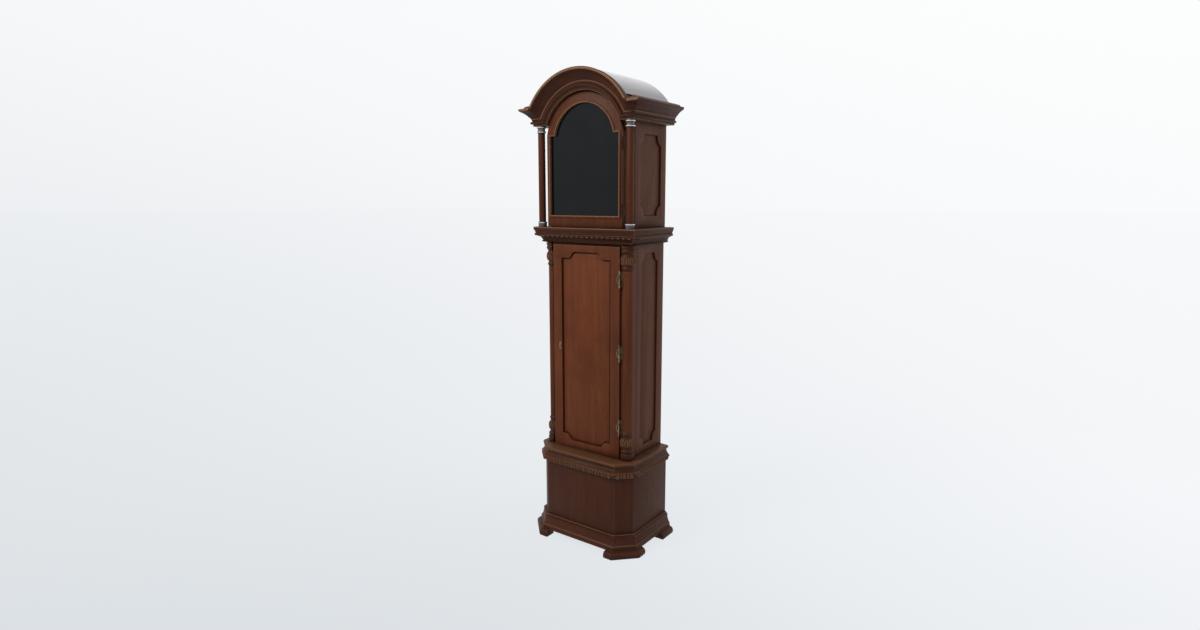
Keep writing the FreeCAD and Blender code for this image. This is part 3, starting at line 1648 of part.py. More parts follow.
def anchor():
    """The recoil anchor with its two pallets, and the crutch that drives the pendulum."""
    body = placed_body("anchor", anchor_place(), ZERO)
    start = size.escape_wheel_depth - size.wheel_thick / 2
    finish = start + size.wheel_thick * 2
    half_right = math.sqrt(0.5)
    drop = size.escape_radius * math.sqrt(2)
    tip = (size.escape_radius + size.pallet_clearance) * half_right
    side = size.nib_thick / 2 * half_right
    out = size.nib_length * half_right
    hub = size.anchor_hub
    nib = (tip, tip - drop)
    outline = [(hub, hub), (nib[0] + out + side, nib[1] + out), (nib[0] + side, nib[1] - side),
               (nib[0] - side, nib[1] + side), (nib[0] + out / 2 - side, nib[1] + out / 2 + side),
               (hub, -hub / 2)]
    left = [(-across, up) for across, up in reversed(outline)]
    pad(body, "front", start, finish, left + outline)
    inner_front = size.front_plate - size.sliding_gap
    back_end = size.pendulum_depth + size.crutch_thick + size.rod_radius
    pad(body, "front", back_end, inner_front, Disc(0, 0, size.arbor_radius))
    pad(body, "front", inner_front, size.front_plate + size.plate_thick, Disc(0, 0, size.pivot_radius))
    crutch_end = size.crutch_length
    prong = size.rod_radius + size.sliding_gap
    pad(body, "front", back_end, back_end + size.crutch_thick,
        box_outline(-size.arbor_radius, size.arbor_radius, -crutch_end, ZERO))
    pad(body, "front", size.pendulum_depth - size.rod_radius, back_end + size.crutch_thick,
        box_outline(-prong - size.crutch_thick, -prong, -crutch_end - size.crutch_thick, -crutch_end),
        box_outline(prong, prong + size.crutch_thick, -crutch_end - size.crutch_thick, -crutch_end))
    pad(body, "front", back_end, back_end + size.crutch_thick,
        box_outline(-prong - size.crutch_thick, prong + size.crutch_thick,
                    -crutch_end - size.crutch_thick, -crutch_end))
    return body


def back_cock():
    """The bracket on the back plate from which the pendulum hangs."""
    level = anchor_place()[1]
    under = level + size.sliding_gap
    front = size.back_plate
    nose = size.pendulum_depth + size.suspension_width / 2
    arm = level + size.cock_thick
    foot_top = arm + size.cock_foot_height
    outline = [(nose - size.suspension_width, under), (nose, under), (nose, arm),
               (front - size.plate_thick, arm), (front, arm), (front, foot_top),
               (front - size.plate_thick, foot_top),
               (front - size.plate_thick, arm + size.cock_thick),
               (nose - size.suspension_width, arm + size.cock_thick)]
    return board("back_cock", "side", -size.cock_half, size.cock_half, outline)


def bob_level():
    return anchor_place()[1] - size.pendulum_length


def pendulum_rod():
    """The suspension spring, the rod and the rating nut under the bob."""
    top = anchor_place()[1]
    depth = size.pendulum_depth
    body = new_body("pendulum_rod")
    hung = top - size.suspension_length
    nut_top = bob_level() - size.bob_radius - size.sliding_gap
    nut_bottom = nut_top - size.rating_nut_thick
    half = size.suspension_thick / 2
    pad(body, "plan", nut_bottom - size.rating_nut_thick, hung, Disc(0, depth, size.rod_radius))
    pad(body, "plan", hung, top,
        box_outline(-half, half, depth - size.suspension_width / 2, depth + size.suspension_width / 2))
    pad(body, "plan", nut_bottom, nut_top, Disc(0, depth, size.rating_nut_radius))
    return body


def pendulum_bob():
    """The lens-shaped bob, bored for the rod."""
    body = placed_body("pendulum_bob", (ZERO, bob_level()), size.pendulum_depth)
    half = size.bob_thick / 2
    rim = size.bob_rim / 2
    radius = size.bob_radius
    bulge = half - rim
    curve = (bulge * bulge + radius * radius) / (bulge * 2)
    outline = [(-half, 0, curve), (half, 0), (rim, radius, curve), (-rim, radius)]
    revolved(body, "side", ZERO, outline, about_upright=False)
    pocket(body, "plan", -radius, radius, Disc(0, 0, size.rod_radius + size.running_gap))
    return body


# Plates and dial

def movement_plates():
    """Two plates with the holes of the arbors, and the stud of the minute wheel."""
    half = size.plate_half
    outline = box_outline(-half, half, size.seat_level, size.plate_top)
    pivot = size.pivot_radius + size.running_gap
    passing = size.arbor_radius + size.running_gap
    winding = size.barrel_arbor_radius + size.running_gap
    front = board("front_plate", "front", size.front_plate,
                  size.front_plate + size.plate_thick, outline,
                  Disc(*centre_place(), passing), Disc(*great_place(), winding),
                  Disc(*third_place(), pivot), Disc(*escape_place(), pivot),
                  Disc(*anchor_place(), pivot))
    rod_end = hour_wheel_depth() + size.wheel_thick
    pad(front, "front", size.front_plate + size.plate_thick, rod_end,
        Disc(*minute_place(), size.arbor_radius))
    rear = board("rear_plate", "front", size.back_plate, size.back_plate + size.plate_thick, outline,
                 Disc(*centre_place(), pivot), Disc(*great_place(), winding),
                 Disc(*third_place(), pivot), Disc(*escape_place(), pivot),
                 Disc(*anchor_place(), passing))
    return group("movement_plates", front, rear)


def movement_pillars():
    across = size.plate_half - size.pillar_inset
    discs = [Disc(side, level, size.pillar_radius) for side in (-across, across)
             for level in (size.seat_level + size.pillar_inset, size.plate_top - size.pillar_inset)]
    return board("movement_pillars", "front", size.back_plate + size.plate_thick,
                 size.front_plate, *discs)


def dial():
    """The dial with its arch, its holes and the feet that stand on the front plate."""
    half = size.dial_half
    shoulder = size.dial_shoulder
    inner = leg(size.dial_arch_radius, shoulder - size.arch_level)
    outline = [(-half, size.dial_bottom), (half, size.dial_bottom), (half, shoulder), (inner, shoulder),
               (-inner, shoulder, size.dial_arch_radius), (-half, shoulder)]
    body = board("dial", "front", size.dial_depth, dial_face(), outline,
                 Disc(*great_place(), size.winding_hole_radius),
                 Disc(*centre_place(), size.pipe_radius + size.hand_gap))
    reach = size.dial_foot_reach
    pad(body, "front", size.front_plate + size.plate_thick, size.dial_depth,
        *[Disc(side, level, size.dial_foot_radius) for side in (-reach, reach)
          for level in (size.dial_centre - reach, size.dial_centre + reach)])
    return body


# Hands and motion work

HOUR_DEGREES = -55
MINUTE_DEGREES = 60
HAND_SHARES = [(0.02, 0), (0.012, 0.62), (0.055, 0.74), (0.0, 1.0)]


def dial_face():
    return size.dial_depth + size.dial_thick


def hand_depth():
    """The back of the hour hand, in front of the dial."""
    return dial_face() + size.hand_gap


def cannon_depth():
    return size.front_plate + size.plate_thick + size.wheel_thick


def hour_wheel_depth():
    return cannon_depth() + size.wheel_thick * 3


def clockwise(points, degrees):
    """Points about an arbor, turned clockwise as seen from the front."""
    angle = math.radians(degrees)
    right, down = math.cos(angle), math.sin(angle)
    return [(across * right + up * down, up * right - across * down) for across, up in points]


def hand_blade(start, length, degrees):
    right = [(value_of(length * across), value_of(length * up)) for across, up in HAND_SHARES]
    left = [(-across, up) for across, up in reversed(right[:-1])]
    return forward_block(clockwise(right + left, degrees), centre_place(), start,
                         start + size.hand_thick)


def hour_hand():
    """The hour hand with its pipe and the hour wheel."""
    place = centre_place()
    start = hour_wheel_depth()
    finish = hand_depth() + size.hand_thick
    wheel = toothed(place, start, start + size.wheel_thick, HOUR_TEETH, size.hour_module,
                    WHEEL_TOOTH_SHARES, direction(place, minute_place()), False)
    blade = hand_blade(hand_depth(), size.hour_hand_length, HOUR_DEGREES)
    pipe = rod(place, start, finish, size.pipe_radius)
    bore = rod(place, start, finish, size.cannon_radius + size.running_gap)
    return joined("hour_hand", wheel, [pipe, blade], bore)


def minute_hand():
    """The minute hand with the cannon pinion that rides on the centre arbor."""
    place = centre_place()
    start = cannon_depth()
    face = hand_depth() + size.hand_thick + size.hand_gap
    finish = face + size.hand_thick
    wheel = toothed(place, start, start + size.wheel_thick, CANNON_TEETH, size.motion_module,
                    WHEEL_TOOTH_SHARES, direction(place, minute_place()), True)
    blade = hand_blade(face, size.minute_hand_length, MINUTE_DEGREES)
    pipe = rod(place, start, finish, size.cannon_radius)
    bore = rod(place, start, finish, size.arbor_radius + size.running_gap)
    return joined("minute_hand", wheel, [pipe, blade], bore)


def minute_wheel():
    """The wheel and pinion between the two hands."""
    place = minute_place()
    start = cannon_depth()
    finish = hour_wheel_depth() + size.wheel_thick
    wheel = toothed(place, start, start + size.wheel_thick, MINUTE_TEETH, size.motion_module,
                    WHEEL_TOOTH_SHARES, direction(place, centre_place()), False)
    leaves = toothed(place, start + size.wheel_thick, finish, MINUTE_LEAVES, size.hour_module,
                     LEAF_SHARES, direction(place, centre_place()), True)
    bore = rod(place, start, finish, size.arbor_radius + size.running_gap)
    return joined("minute_wheel", wheel, [leaves], bore)


# Weight and line

def pulley_level():
    return size.weight_bottom + size.weight_height + size.stirrup_height


WEIGHT_SHARES = [(0.94, 0), (1, 0.02, 0.05), (1, 0.96), (0.93, 0.985, 0.05), (0.3, 1)]


def weight():
    """The weight, with the stirrup and the pin that carry its pulley."""
    turned = turned_outline(WEIGHT_SHARES, size.weight_radius, size.weight_bottom, size.weight_height)
    body = turned_body("weight", size.great_across, size.line_depth, turned)
    half = size.stirrup_width / 2
    gap = size.pulley_thick / 2 + size.sliding_gap
    top = size.weight_bottom + size.weight_height
    reach = pulley_level() + size.stirrup_width
    bridge = top + size.stirrup_height - line_reach() - size.stirrup_width * 2
    pad(body, "side", -half, half,
        [(-gap - size.stirrup_thick, bridge), (gap + size.stirrup_thick, bridge),
         (gap + size.stirrup_thick, reach), (gap, reach), (gap, bridge + size.stirrup_width),
         (-gap, bridge + size.stirrup_width), (-gap, reach), (-gap - size.stirrup_thick, reach)])
    pad(body, "plan", top - size.stirrup_thick, bridge, Disc(0, 0, size.stirrup_stem_radius))
    pad(body, "front", -gap, gap, Disc(ZERO, pulley_level(), size.arbor_radius))
    return body


def weight_pulley():
    """The grooved pulley over which the weight hangs in the line."""
    body = placed_body("weight_pulley", (size.great_across, pulley_level()), size.line_depth)
    half = size.pulley_thick / 2
    bore = size.arbor_radius + size.running_gap
    groove = line_reach() - size.line_radius - size.sliding_gap
    outer = line_reach() + size.pulley_flange
    lip = size.groove_half
    floor = size.groove_floor_half
    outline = [(-half, bore), (half, bore), (half, outer), (lip, outer),
               (floor, groove), (-floor, groove), (-lip, outer), (-half, outer)]
    revolved(body, "side", ZERO, outline, about_upright=False)
    return body


def gut_line():
    """The two straight falls of the line, from the seat board down to the pulley."""
    discs = [Disc(size.great_across + side, size.line_depth, size.line_radius)
             for side in (-line_reach(), line_reach())]
    return board("gut_line", "plan", pulley_level(), size.seat_level - size.board, *discs)


def gut_line_ends():
    """The line's lengths above the seat board's underside: up to the barrel, and its knot."""
    body = new_body("gut_line_ends")
    start = size.seat_level - size.board
    across = size.great_across
    left = across - line_reach()
    right = across + line_reach()
    pad(body, "plan", start, great_place()[1], Disc(left, size.line_depth, size.line_radius))
    pad(body, "plan", start, size.seat_level, Disc(right, size.line_depth, size.line_radius))
    pad(body, "plan", size.seat_level, size.seat_level + size.line_hole_radius,
        Disc(right, size.line_depth, size.line_hole_radius + size.line_radius))
    return body


def gut_line_bight():
    """The line's half turn under the pulley."""
    body = placed_body("gut_line_bight", (size.great_across, pulley_level()), size.line_depth)
    section_disc = Disc(-line_reach(), ZERO, size.line_radius)
    feature = revolved(body, "plan", ZERO, section_disc)
    feature.Angle = 180
    feature.Reversed = True
    return body


def nodes():
    """Every separate piece of the clock."""
    foot = front_foot()
    column = quarter_column()
    trunk_right = trunk_side()
    hood_right = hood_side()
    hood_post = hood_column()
    return [
        group("feet_front", foot, mirrored("foot_front_left", foot)), back_feet(), skirt_moulding(),
        plinth_front(), plinth_corner(), plinth_side(), plinth_bottom(), base_moulding(),
        backboard(), trunk_right, mirrored("trunk_side_left", trunk_right), trunk_side_panels(),
        trunk_front_frame(), column, mirrored("quarter_column_left", column), quarter_column_ends(),
        waist_moulding(), trunk_hinge_case_leaves(), seat_supports(), seat_board(),
        trunk_door_frame(), trunk_door_panel(), trunk_hinge_door_leaves(), trunk_door_escutcheon(),
        trunk_door_lock(), trunk_lock_bolt(),
        hood_base_frame(), hood_right, mirrored("hood_side_left", hood_right), hood_side_panels(),
        hood_front_frame(), hood_cornice(), hood_roof(), hood_post,
        mirrored("hood_column_left", hood_post), hood_column_mounts(), hood_hinge_leaves(),
        hood_door_frame(), hood_door_glass(), hood_door_hinge_leaves(),
        movement_plates(), movement_pillars(), dial(), barrel(), great_wheel(), centre_wheel(),
        third_wheel(), escape_wheel(), anchor(), back_cock(), pendulum_rod(), pendulum_bob(),
        hour_hand(), minute_hand(), minute_wheel(), weight(), weight_pulley(), gut_line(),
        gut_line_ends(), gut_line_bight(),
    ]


pieces = nodes()
doc.recompute()
for item in doc.Objects:
    if "Invalid" in item.State or "Error" in item.State:
        raise SystemExit("%s did not build: %s" % (item.Label, item.State))
for piece in pieces:
    if piece.Shape.isNull() or not piece.Shape.isValid():
        raise SystemExit("%s has no sound shape" % piece.Label)
for piece in pieces:
    piece.Shape.exportStep("parts/%s.step" % piece.Label)
print("%d pieces written" % len(pieces))
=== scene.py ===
import json
import math
from typing import NamedTuple

import bpy
from mathutils import Matrix, Vector

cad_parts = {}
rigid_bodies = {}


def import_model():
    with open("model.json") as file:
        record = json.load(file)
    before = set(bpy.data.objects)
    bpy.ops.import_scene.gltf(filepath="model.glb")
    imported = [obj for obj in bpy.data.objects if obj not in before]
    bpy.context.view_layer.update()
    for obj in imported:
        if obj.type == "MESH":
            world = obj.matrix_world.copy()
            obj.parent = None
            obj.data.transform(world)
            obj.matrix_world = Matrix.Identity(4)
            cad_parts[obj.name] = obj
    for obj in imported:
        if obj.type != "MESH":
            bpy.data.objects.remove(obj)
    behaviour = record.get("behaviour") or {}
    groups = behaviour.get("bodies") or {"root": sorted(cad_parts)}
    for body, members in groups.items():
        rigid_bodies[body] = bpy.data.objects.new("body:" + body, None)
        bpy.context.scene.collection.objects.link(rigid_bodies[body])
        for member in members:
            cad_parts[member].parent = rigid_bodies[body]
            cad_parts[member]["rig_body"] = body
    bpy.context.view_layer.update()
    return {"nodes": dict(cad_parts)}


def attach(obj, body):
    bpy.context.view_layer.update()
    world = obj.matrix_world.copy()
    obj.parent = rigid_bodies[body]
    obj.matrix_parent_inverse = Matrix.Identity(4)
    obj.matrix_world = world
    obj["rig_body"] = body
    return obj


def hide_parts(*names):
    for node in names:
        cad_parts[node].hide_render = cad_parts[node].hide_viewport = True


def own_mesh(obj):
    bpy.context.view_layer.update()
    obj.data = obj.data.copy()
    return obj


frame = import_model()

# Longcase clock. Metres, Z up, the front of the case faces -Y. The hood carries a broken-arch
# cornice, a glazed door and two slender columns; the trunk has a long door between quarter columns.

NODES = frame["nodes"]

# Viewpoint of the photograph

CAMERA_PLACE = Vector((1.7965, -2.4903, 1.5642))
CAMERA_TARGET = Vector((0.0, 0.0105, 1.0465))
FILM_WIDTH = 36.0
LENS = 20.6

# Eased edges

WOOD_EASE = 0.0005
METAL_EASE = 0.0003
SMOOTH_ANGLE = math.radians(32)
FLAT_ANGLE = math.radians(0.4)
WELD = 0.00001


# Colours

def paint(red, green, blue):
    """A colour as a painter mixes it, from 0 to 255, for the shader's own scale."""
    linear = []
    for part in (red, green, blue):
        share = part / 255
        low = share / 12.92
        high = ((share + 0.055) / 1.055) ** 2.4
        linear.append(low if share <= 0.04045 else high)
    return (*linear, 1.0)


WOOD_DARK = paint(60, 26, 11)
WOOD_MID = paint(94, 46, 20)
WOOD_LIGHT = paint(122, 65, 30)
# Painted highlight on outward edges and fillets, partly rubbed polish
WOOD_WORN_AND_HIGHLIGHT = paint(152, 112, 80)
# Painted shade, laid into the quirks of the mouldings
WOOD_PAINTED_SHADE = paint(22, 12, 9)


# Materials

class Finish:
    """A material under construction, with short ways to add and join its nodes."""

    def __init__(self, name):
        self.material = bpy.data.materials.new(name)
        self.material.use_nodes = True
        self.tree = self.material.node_tree
        self.shader = self.tree.nodes["Principled BSDF"]
        self.place = self.add("ShaderNodeTexCoord").outputs["Object"]

    def add(self, kind, **settings):
        node = self.tree.nodes.new(kind)
        for name, value in settings.items():
            setattr(node, name, value)
        return node

    def join(self, source, target):
        self.tree.links.new(source, target)

    def stretched(self, scale, place=None):
        """Object coordinates, stretched along the grain."""
        mapping = self.add("ShaderNodeMapping")
        mapping.inputs["Scale"].default_value = scale
        self.join(place or self.place, mapping.inputs["Vector"])
        return mapping.outputs["Vector"]

    def noise(self, vector, scale, detail=4.0, roughness=0.55, distortion=0.0):
        node = self.add("ShaderNodeTexNoise")
        node.inputs["Scale"].default_value = scale
        node.inputs["Detail"].default_value = detail
        node.inputs["Roughness"].default_value = roughness
        node.inputs["Distortion"].default_value = distortion
        self.join(vector, node.inputs["Vector"])
        return node.outputs["Fac"]

    def ramp(self, value, *stops):
        """Colours along a value, given as pairs of a place and a colour."""
        node = self.add("ShaderNodeValToRGB")
        band = node.color_ramp
        while len(band.elements) < len(stops):
            band.elements.new(0.5)
        for element, (place, colour) in zip(band.elements, stops):
            element.position = place
            element.color = colour
        self.join(value, node.inputs["Fac"])
        return node.outputs["Color"]

    def span(self, value, low, high, new_low, new_high):
        """A value moved from one range to another, and kept inside it."""
        node = self.add("ShaderNodeMapRange")
        for label, number in (
            ("From Min", low),
            ("From Max", high),
            ("To Min", new_low),
            ("To Max", new_high),
        ):
            node.inputs[label].default_value = number
        self.join(value, node.inputs["Value"])
        return node.outputs["Result"]

    def blend(self, share, first, second, how="MIX"):
        """One colour laid over another; the share is a number or a node's output."""
        node = self.add("ShaderNodeMix", data_type="RGBA", blend_type=how)
        for label, value in (("Factor", share), ("A", first), ("B", second)):
            socket = [s for s in node.inputs if s.name == label and s.enabled][0]
            if isinstance(value, bpy.types.NodeSocket):
                self.join(value, socket)
            else:
                socket.default_value = value
        return [s for s in node.outputs if s.enabled][0]

    def math(self, operation, first, second):
        node = self.add("ShaderNodeMath", operation=operation)
        for socket, value in zip(node.inputs, (first, second)):
            if isinstance(value, bpy.types.NodeSocket):
                self.join(value, socket)
            else:
                socket.default_value = value
        return node.outputs["Value"]

    def bump(self, height, strength, distance):
        node = self.add("ShaderNodeBump")
        node.inputs["Strength"].default_value = strength
        node.inputs["Distance"].default_value = distance
        self.join(height, node.inputs["Height"])
        self.join(node.outputs["Normal"], self.shader.inputs["Normal"])

    def set(self, **values):
        for label, value in values.items():
            self.shader.inputs[label.replace("_", " ")].default_value = value


# Wood

GRAIN_ACROSS = {"X": (1, 14, 14), "Z": (14, 14, 1)}
FIGURE_SCALE = 3.2
CLOUD_SCALE = 6.0
FIBRE_SCALE = 42.0
FLECK_SCALE = 260.0
QUIRK_REACH = 0.03
EDGE_REACH = 0.006
PORE_DEPTH = 0.0004
SOFT_LINE = 0.0005


def mahogany(finish, along, tone, red):
    """Bare wood: its colour, with broad figure and clouds, and its fibres and flecks."""
    figure = finish.noise(along, FIGURE_SCALE, detail=5, distortion=0.5)
    cloud = finish.noise(finish.place, CLOUD_SCALE, detail=3)
    fibre = finish.noise(along, FIBRE_SCALE, detail=3, roughness=0.7)
    fleck = finish.noise(finish.place, FLECK_SCALE, detail=2)
    colour = finish.ramp(figure, (0.2, WOOD_DARK), (0.5, WOOD_MID), (0.8, WOOD_LIGHT))
    colour = finish.blend(finish.span(cloud, 0.3, 0.7, 0.25, 0.75), colour, WOOD_MID)
    colour = finish.blend(finish.span(fibre, 0.35, 0.75, 0.0, 0.4), colour, WOOD_DARK)
    colour = finish.blend(finish.span(fleck, 0.52, 0.75, 0.0, 0.45), colour, WOOD_LIGHT)
    colour = finish.blend(finish.span(cloud, 0.52, 0.72, 0.0, 0.35), colour, WOOD_DARK)
    colour = finish.blend(1.0, colour, (tone * red, tone, tone, 1.0), how="MULTIPLY")
    return colour, fibre, fleck


def openness(finish, reach, inside):
    """How open a place is: low in the quirks of a moulding, or at its outward edges if inside."""
    shade = finish.add("ShaderNodeAmbientOcclusion", samples=8, inside=inside, only_local=inside)
    shade.inputs["Distance"].default_value = reach
    return shade.outputs["AO"]


def handled(finish, colour, painted_shade, wear_and_highlight):
    """Painted shade in the quirks, darkest where a moulding closes in most, and a painted highlight
    at the outward edges, where the polish is also rubbed through.
    """
    # Painted shade: the quirks darken as the wood around them closes in
    quirks = finish.span(openness(finish, QUIRK_REACH, False), 0.3, 0.95, painted_shade, 0.0)
    colour = finish.blend(quirks, colour, WOOD_PAINTED_SHADE)
    # Painted highlight, partly rubbed polish: the outward edges lighten where the wood behind them
    # is thin
    rubbed = finish.span(openness(finish, EDGE_REACH, True), 0.3, 0.75, wear_and_highlight, 0.0)
    return finish.blend(rubbed, colour, WOOD_WORN_AND_HIGHLIGHT)


def highlighted_fillets(finish, colour, fleck, level, fillets):
    """A painted highlight, patchy like rubbed polish, along each fillet from its low to its high
    level, with a share of how light it is.
    """
    for low, high, share in fillets:
        above = finish.span(level, low - SOFT_LINE, low, 0.0, 1.0)
        below = finish.span(level, high, high + SOFT_LINE, 1.0, 0.0)
        patchy = finish.span(fleck, 0.35, 0.6, share / 2, share)
        inside = finish.math("MULTIPLY", above, below)
        colour = finish.blend(finish.math("MULTIPLY", inside, patchy), colour, WOOD_WORN_AND_HIGHLIGHT)
    return colour


def polished_wood(name, grain, tone=1.0, red=1.0, painted_shade=0.8, wear_and_highlight=0.3, level=None, fillets=()):
    """Mahogany with its grain along one axis, with painted shade in its quirks and a painted
    highlight, partly rubbed polish, on its outward edges. The painted highlight on its fillets
    follows the level of a moulding.
    """
    finish = Finish(name)
    along = finish.stretched(GRAIN_ACROSS[grain])
    colour, fibre, fleck = mahogany(finish, along, tone, red)
    colour = handled(finish, colour, painted_shade, wear_and_highlight)
    if level:
        colour = highlighted_fillets(finish, colour, fleck, level(finish), fillets)
    finish.join(colour, finish.shader.inputs["Base Color"])
    finish.join(finish.span(fibre, 0.2, 0.8, 0.42, 0.6), finish.shader.inputs["Roughness"])
    finish.bump(finish.math("ADD", fibre, fleck), 0.3, PORE_DEPTH)
    finish.set(Specular_IOR_Level=0.16)
    return finish.material


# Levels that the fillets follow

ARCH_CENTRE_LEVEL = 1.808
ARCH_SOFFIT_RADIUS = 0.2065
ARCH_STRETCH = 1.19
CORNICE_LEVEL = 1.8815
CORNICE_MITRE_LOW = 0.193
CORNICE_MITRE_SLOPE = 0.84
SIGHT_HALF = 0.1825
SIGHT_RADIUS = 0.1575
SIGHT_BOTTOM = 1.4955
SIGHT_SHOULDER = 1.836


def axes_of(finish):
    """The three coordinates of a place on the clock."""
    axes = finish.add("ShaderNodeSeparateXYZ")
    finish.join(finish.place, axes.inputs["Vector"])
    return axes.outputs


def floor_height(finish):
    """Height above the floor."""
    return axes_of(finish)["Z"]


def around_arch(finish, axes):
    """How far a place is to one side, and how far it is from the centre of the hood's arch."""
    across = finish.math("ABSOLUTE", axes["X"], 0.0)
    rise = finish.math("SUBTRACT", axes["Z"], ARCH_CENTRE_LEVEL)
    square = finish.math(
        "ADD", finish.math("MULTIPLY", across, across), finish.math("MULTIPLY", rise, rise)
    )
    return across, finish.math("SQRT", square, 0.0)


def cornice_height(finish):
    """Height above the cornice's bed, which follows the arch where the cornice is bent."""
    axes = axes_of(finish)
    across, radius = around_arch(finish, axes)
    straight = finish.math("SUBTRACT", axes["Z"], CORNICE_LEVEL)
    bent = finish.math("DIVIDE", finish.math("SUBTRACT", radius, ARCH_SOFFIT_RADIUS), ARCH_STRETCH)
    spread = finish.math("MULTIPLY", straight, CORNICE_MITRE_SLOPE)
    is_arch = finish.math("LESS_THAN", across, finish.math("ADD", CORNICE_MITRE_LOW, spread))
    difference = finish.math("MULTIPLY", is_arch, finish.math("SUBTRACT", bent, straight))
    return finish.math("ADD", straight, difference)


def sight_margin(finish):
    """Distance outward from the edge of the glass, which is round above its two shoulders."""
    axes = axes_of(finish)
    across, radius = around_arch(finish, axes)
    beside = finish.math("SUBTRACT", across, SIGHT_HALF)
    above = finish.math("SUBTRACT", axes["Z"], SIGHT_SHOULDER)
    below = finish.math("SUBTRACT", SIGHT_BOTTOM, axes["Z"])
    square_part = finish.math("MAXIMUM", beside, finish.math("MAXIMUM", above, below))
    round_part = finish.math("SUBTRACT", radius, SIGHT_RADIUS)
    return finish.math("MINIMUM", square_part, round_part)


# Metal, glass, paint and gut

SCRATCH_ACROSS = (1, 1, 9)
SCRATCH_FINENESS = 5
FINE_RELIEF = 0.0002
BRUSHED_RELIEF = 0.0003
TARNISH_SCALE = 90.0
HAZE_SCALE = 9.0
BRUSH_ACROSS = (8, 1, 8)
BRUSH_SCALE = 26.0
AGE_SCALE = 14.0
SPECK_SCALE = 320.0
TWIST_ACROSS = (1, 1, 4)
TWIST_SCALE = 300.0
RING_LEVELS = ((1.4605, 1.4635), (1.8545, 1.857), (1.8745, 1.877))
ROOF_SHADE_LEVELS = (2.0, 2.075)


def metal(name, bright, dull, roughness, speckle=60.0):
    """Worked metal with a handled surface: bright where rubbed and dull between."""
    finish = Finish(name)
    patches = finish.noise(finish.place, speckle, detail=4)
    scratches = finish.noise(
        finish.stretched(SCRATCH_ACROSS), speckle * SCRATCH_FINENESS, detail=2
    )
    finish.join(
        finish.ramp(patches, (0.35, dull), (0.65, bright)), finish.shader.inputs["Base Color"]
    )
    finish.join(
        finish.span(scratches, 0.3, 0.7, roughness - 0.07, roughness + 0.1),
        finish.shader.inputs["Roughness"],
    )
    finish.bump(scratches, 0.15, FINE_RELIEF)
    finish.set(Metallic=1.0)
    return finish.material


def ringed_metal():
    """Bright rings on the mounts of the slender columns, and dull metal between them."""
    finish = Finish("ringed_mounts")
    level = floor_height(finish)
    tarnish = finish.noise(finish.place, TARNISH_SCALE, detail=4)
    dull = finish.ramp(tarnish, (0.3, paint(58, 50, 48)), (0.7, paint(112, 104, 102)))
    bright = finish.ramp(tarnish, (0.3, paint(196, 194, 198)), (0.7, paint(232, 232, 236)))
    is_ring = 0.0
    for low, high in RING_LEVELS:
        above = finish.math("GREATER_THAN", level, low)
        below = finish.math("LESS_THAN", level, high)
        is_ring = finish.math("MAXIMUM", finish.math("MULTIPLY", above, below), is_ring)
    finish.join(finish.blend(is_ring, dull, bright), finish.shader.inputs["Base Color"])
    finish.join(finish.span(tarnish, 0.3, 0.7, 0.28, 0.42), finish.shader.inputs["Roughness"])
    finish.join(finish.span(is_ring, 0.0, 1.0, 0.3, 0.85), finish.shader.inputs["Metallic"])
    finish.bump(tarnish, 0.15, FINE_RELIEF)
    return finish.material


def dark_glass():
    """Smoked glass, nearly black, with a faint blue cast and a dusting of haze."""
    finish = Finish("smoked_glass")
    haze = finish.noise(finish.place, HAZE_SCALE, detail=3)
    tint = finish.ramp(haze, (0.3, paint(5, 6, 8)), (0.7, paint(8, 11, 15)))
    finish.join(tint, finish.shader.inputs["Base Color"])
    finish.join(finish.span(haze, 0.3, 0.7, 0.16, 0.24), finish.shader.inputs["Roughness"])
    finish.set(Specular_IOR_Level=0.22)
    return finish.material


def pale_roof():
    """Silver-white paint over the bent roof board, brushed along its length, with painted shade that
    darkens it low down.
    """
    finish = Finish("pale_roof")
    strokes = finish.noise(finish.stretched(BRUSH_ACROSS), BRUSH_SCALE, detail=4)
    pale = finish.ramp(strokes, (0.3, paint(182, 180, 184)), (0.7, paint(208, 207, 210)))
    # Painted shade: the paint darkens low down on the roof, towards the cornice
    low_shade = finish.span(floor_height(finish), *ROOF_SHADE_LEVELS, 0.7, 0.0)
    pale = finish.blend(low_shade, pale, paint(104, 99, 102))
    finish.join(pale, finish.shader.inputs["Base Color"])
    finish.join(finish.span(strokes, 0.3, 0.7, 0.3, 0.42), finish.shader.inputs["Roughness"])
    finish.bump(strokes, 0.2, BRUSHED_RELIEF)
    finish.set(Metallic=0.35)
    return finish.material


def dial_paint():
    """Cream paint on the iron dial, a little yellowed and uneven."""
    finish = Finish("dial_paint")
    age = finish.noise(finish.place, AGE_SCALE, detail=5)
    specks = finish.noise(finish.place, SPECK_SCALE, detail=1)
    cream = finish.ramp(age, (0.3, paint(214, 203, 172)), (0.7, paint(231, 224, 200)))
    cream = finish.blend(finish.span(specks, 0.66, 0.74, 0.0, 0.5), cream, paint(150, 130, 96))
    finish.join(cream, finish.shader.inputs["Base Color"])
    finish.join(finish.span(age, 0.3, 0.7, 0.35, 0.5), finish.shader.inputs["Roughness"])
    finish.bump(specks, 0.1, FINE_RELIEF)
    return finish.material


def twisted_gut():
    """Gut line, amber and slightly twisted."""
    finish = Finish("gut")
    twist = finish.noise(finish.stretched(TWIST_ACROSS), TWIST_SCALE, detail=2)
    amber = finish.ramp(twist, (0.3, paint(150, 116, 72)), (0.7, paint(188, 156, 106)))
    finish.join(amber, finish.shader.inputs["Base Color"])
    finish.join(finish.span(twist, 0.3, 0.7, 0.35, 0.5), finish.shader.inputs["Roughness"])
    finish.bump(twist, 0.3, FINE_RELIEF)
    return finish.material


# The clock's own finishes; a fillet is given as its low and high level and how strong its painted
# highlight is

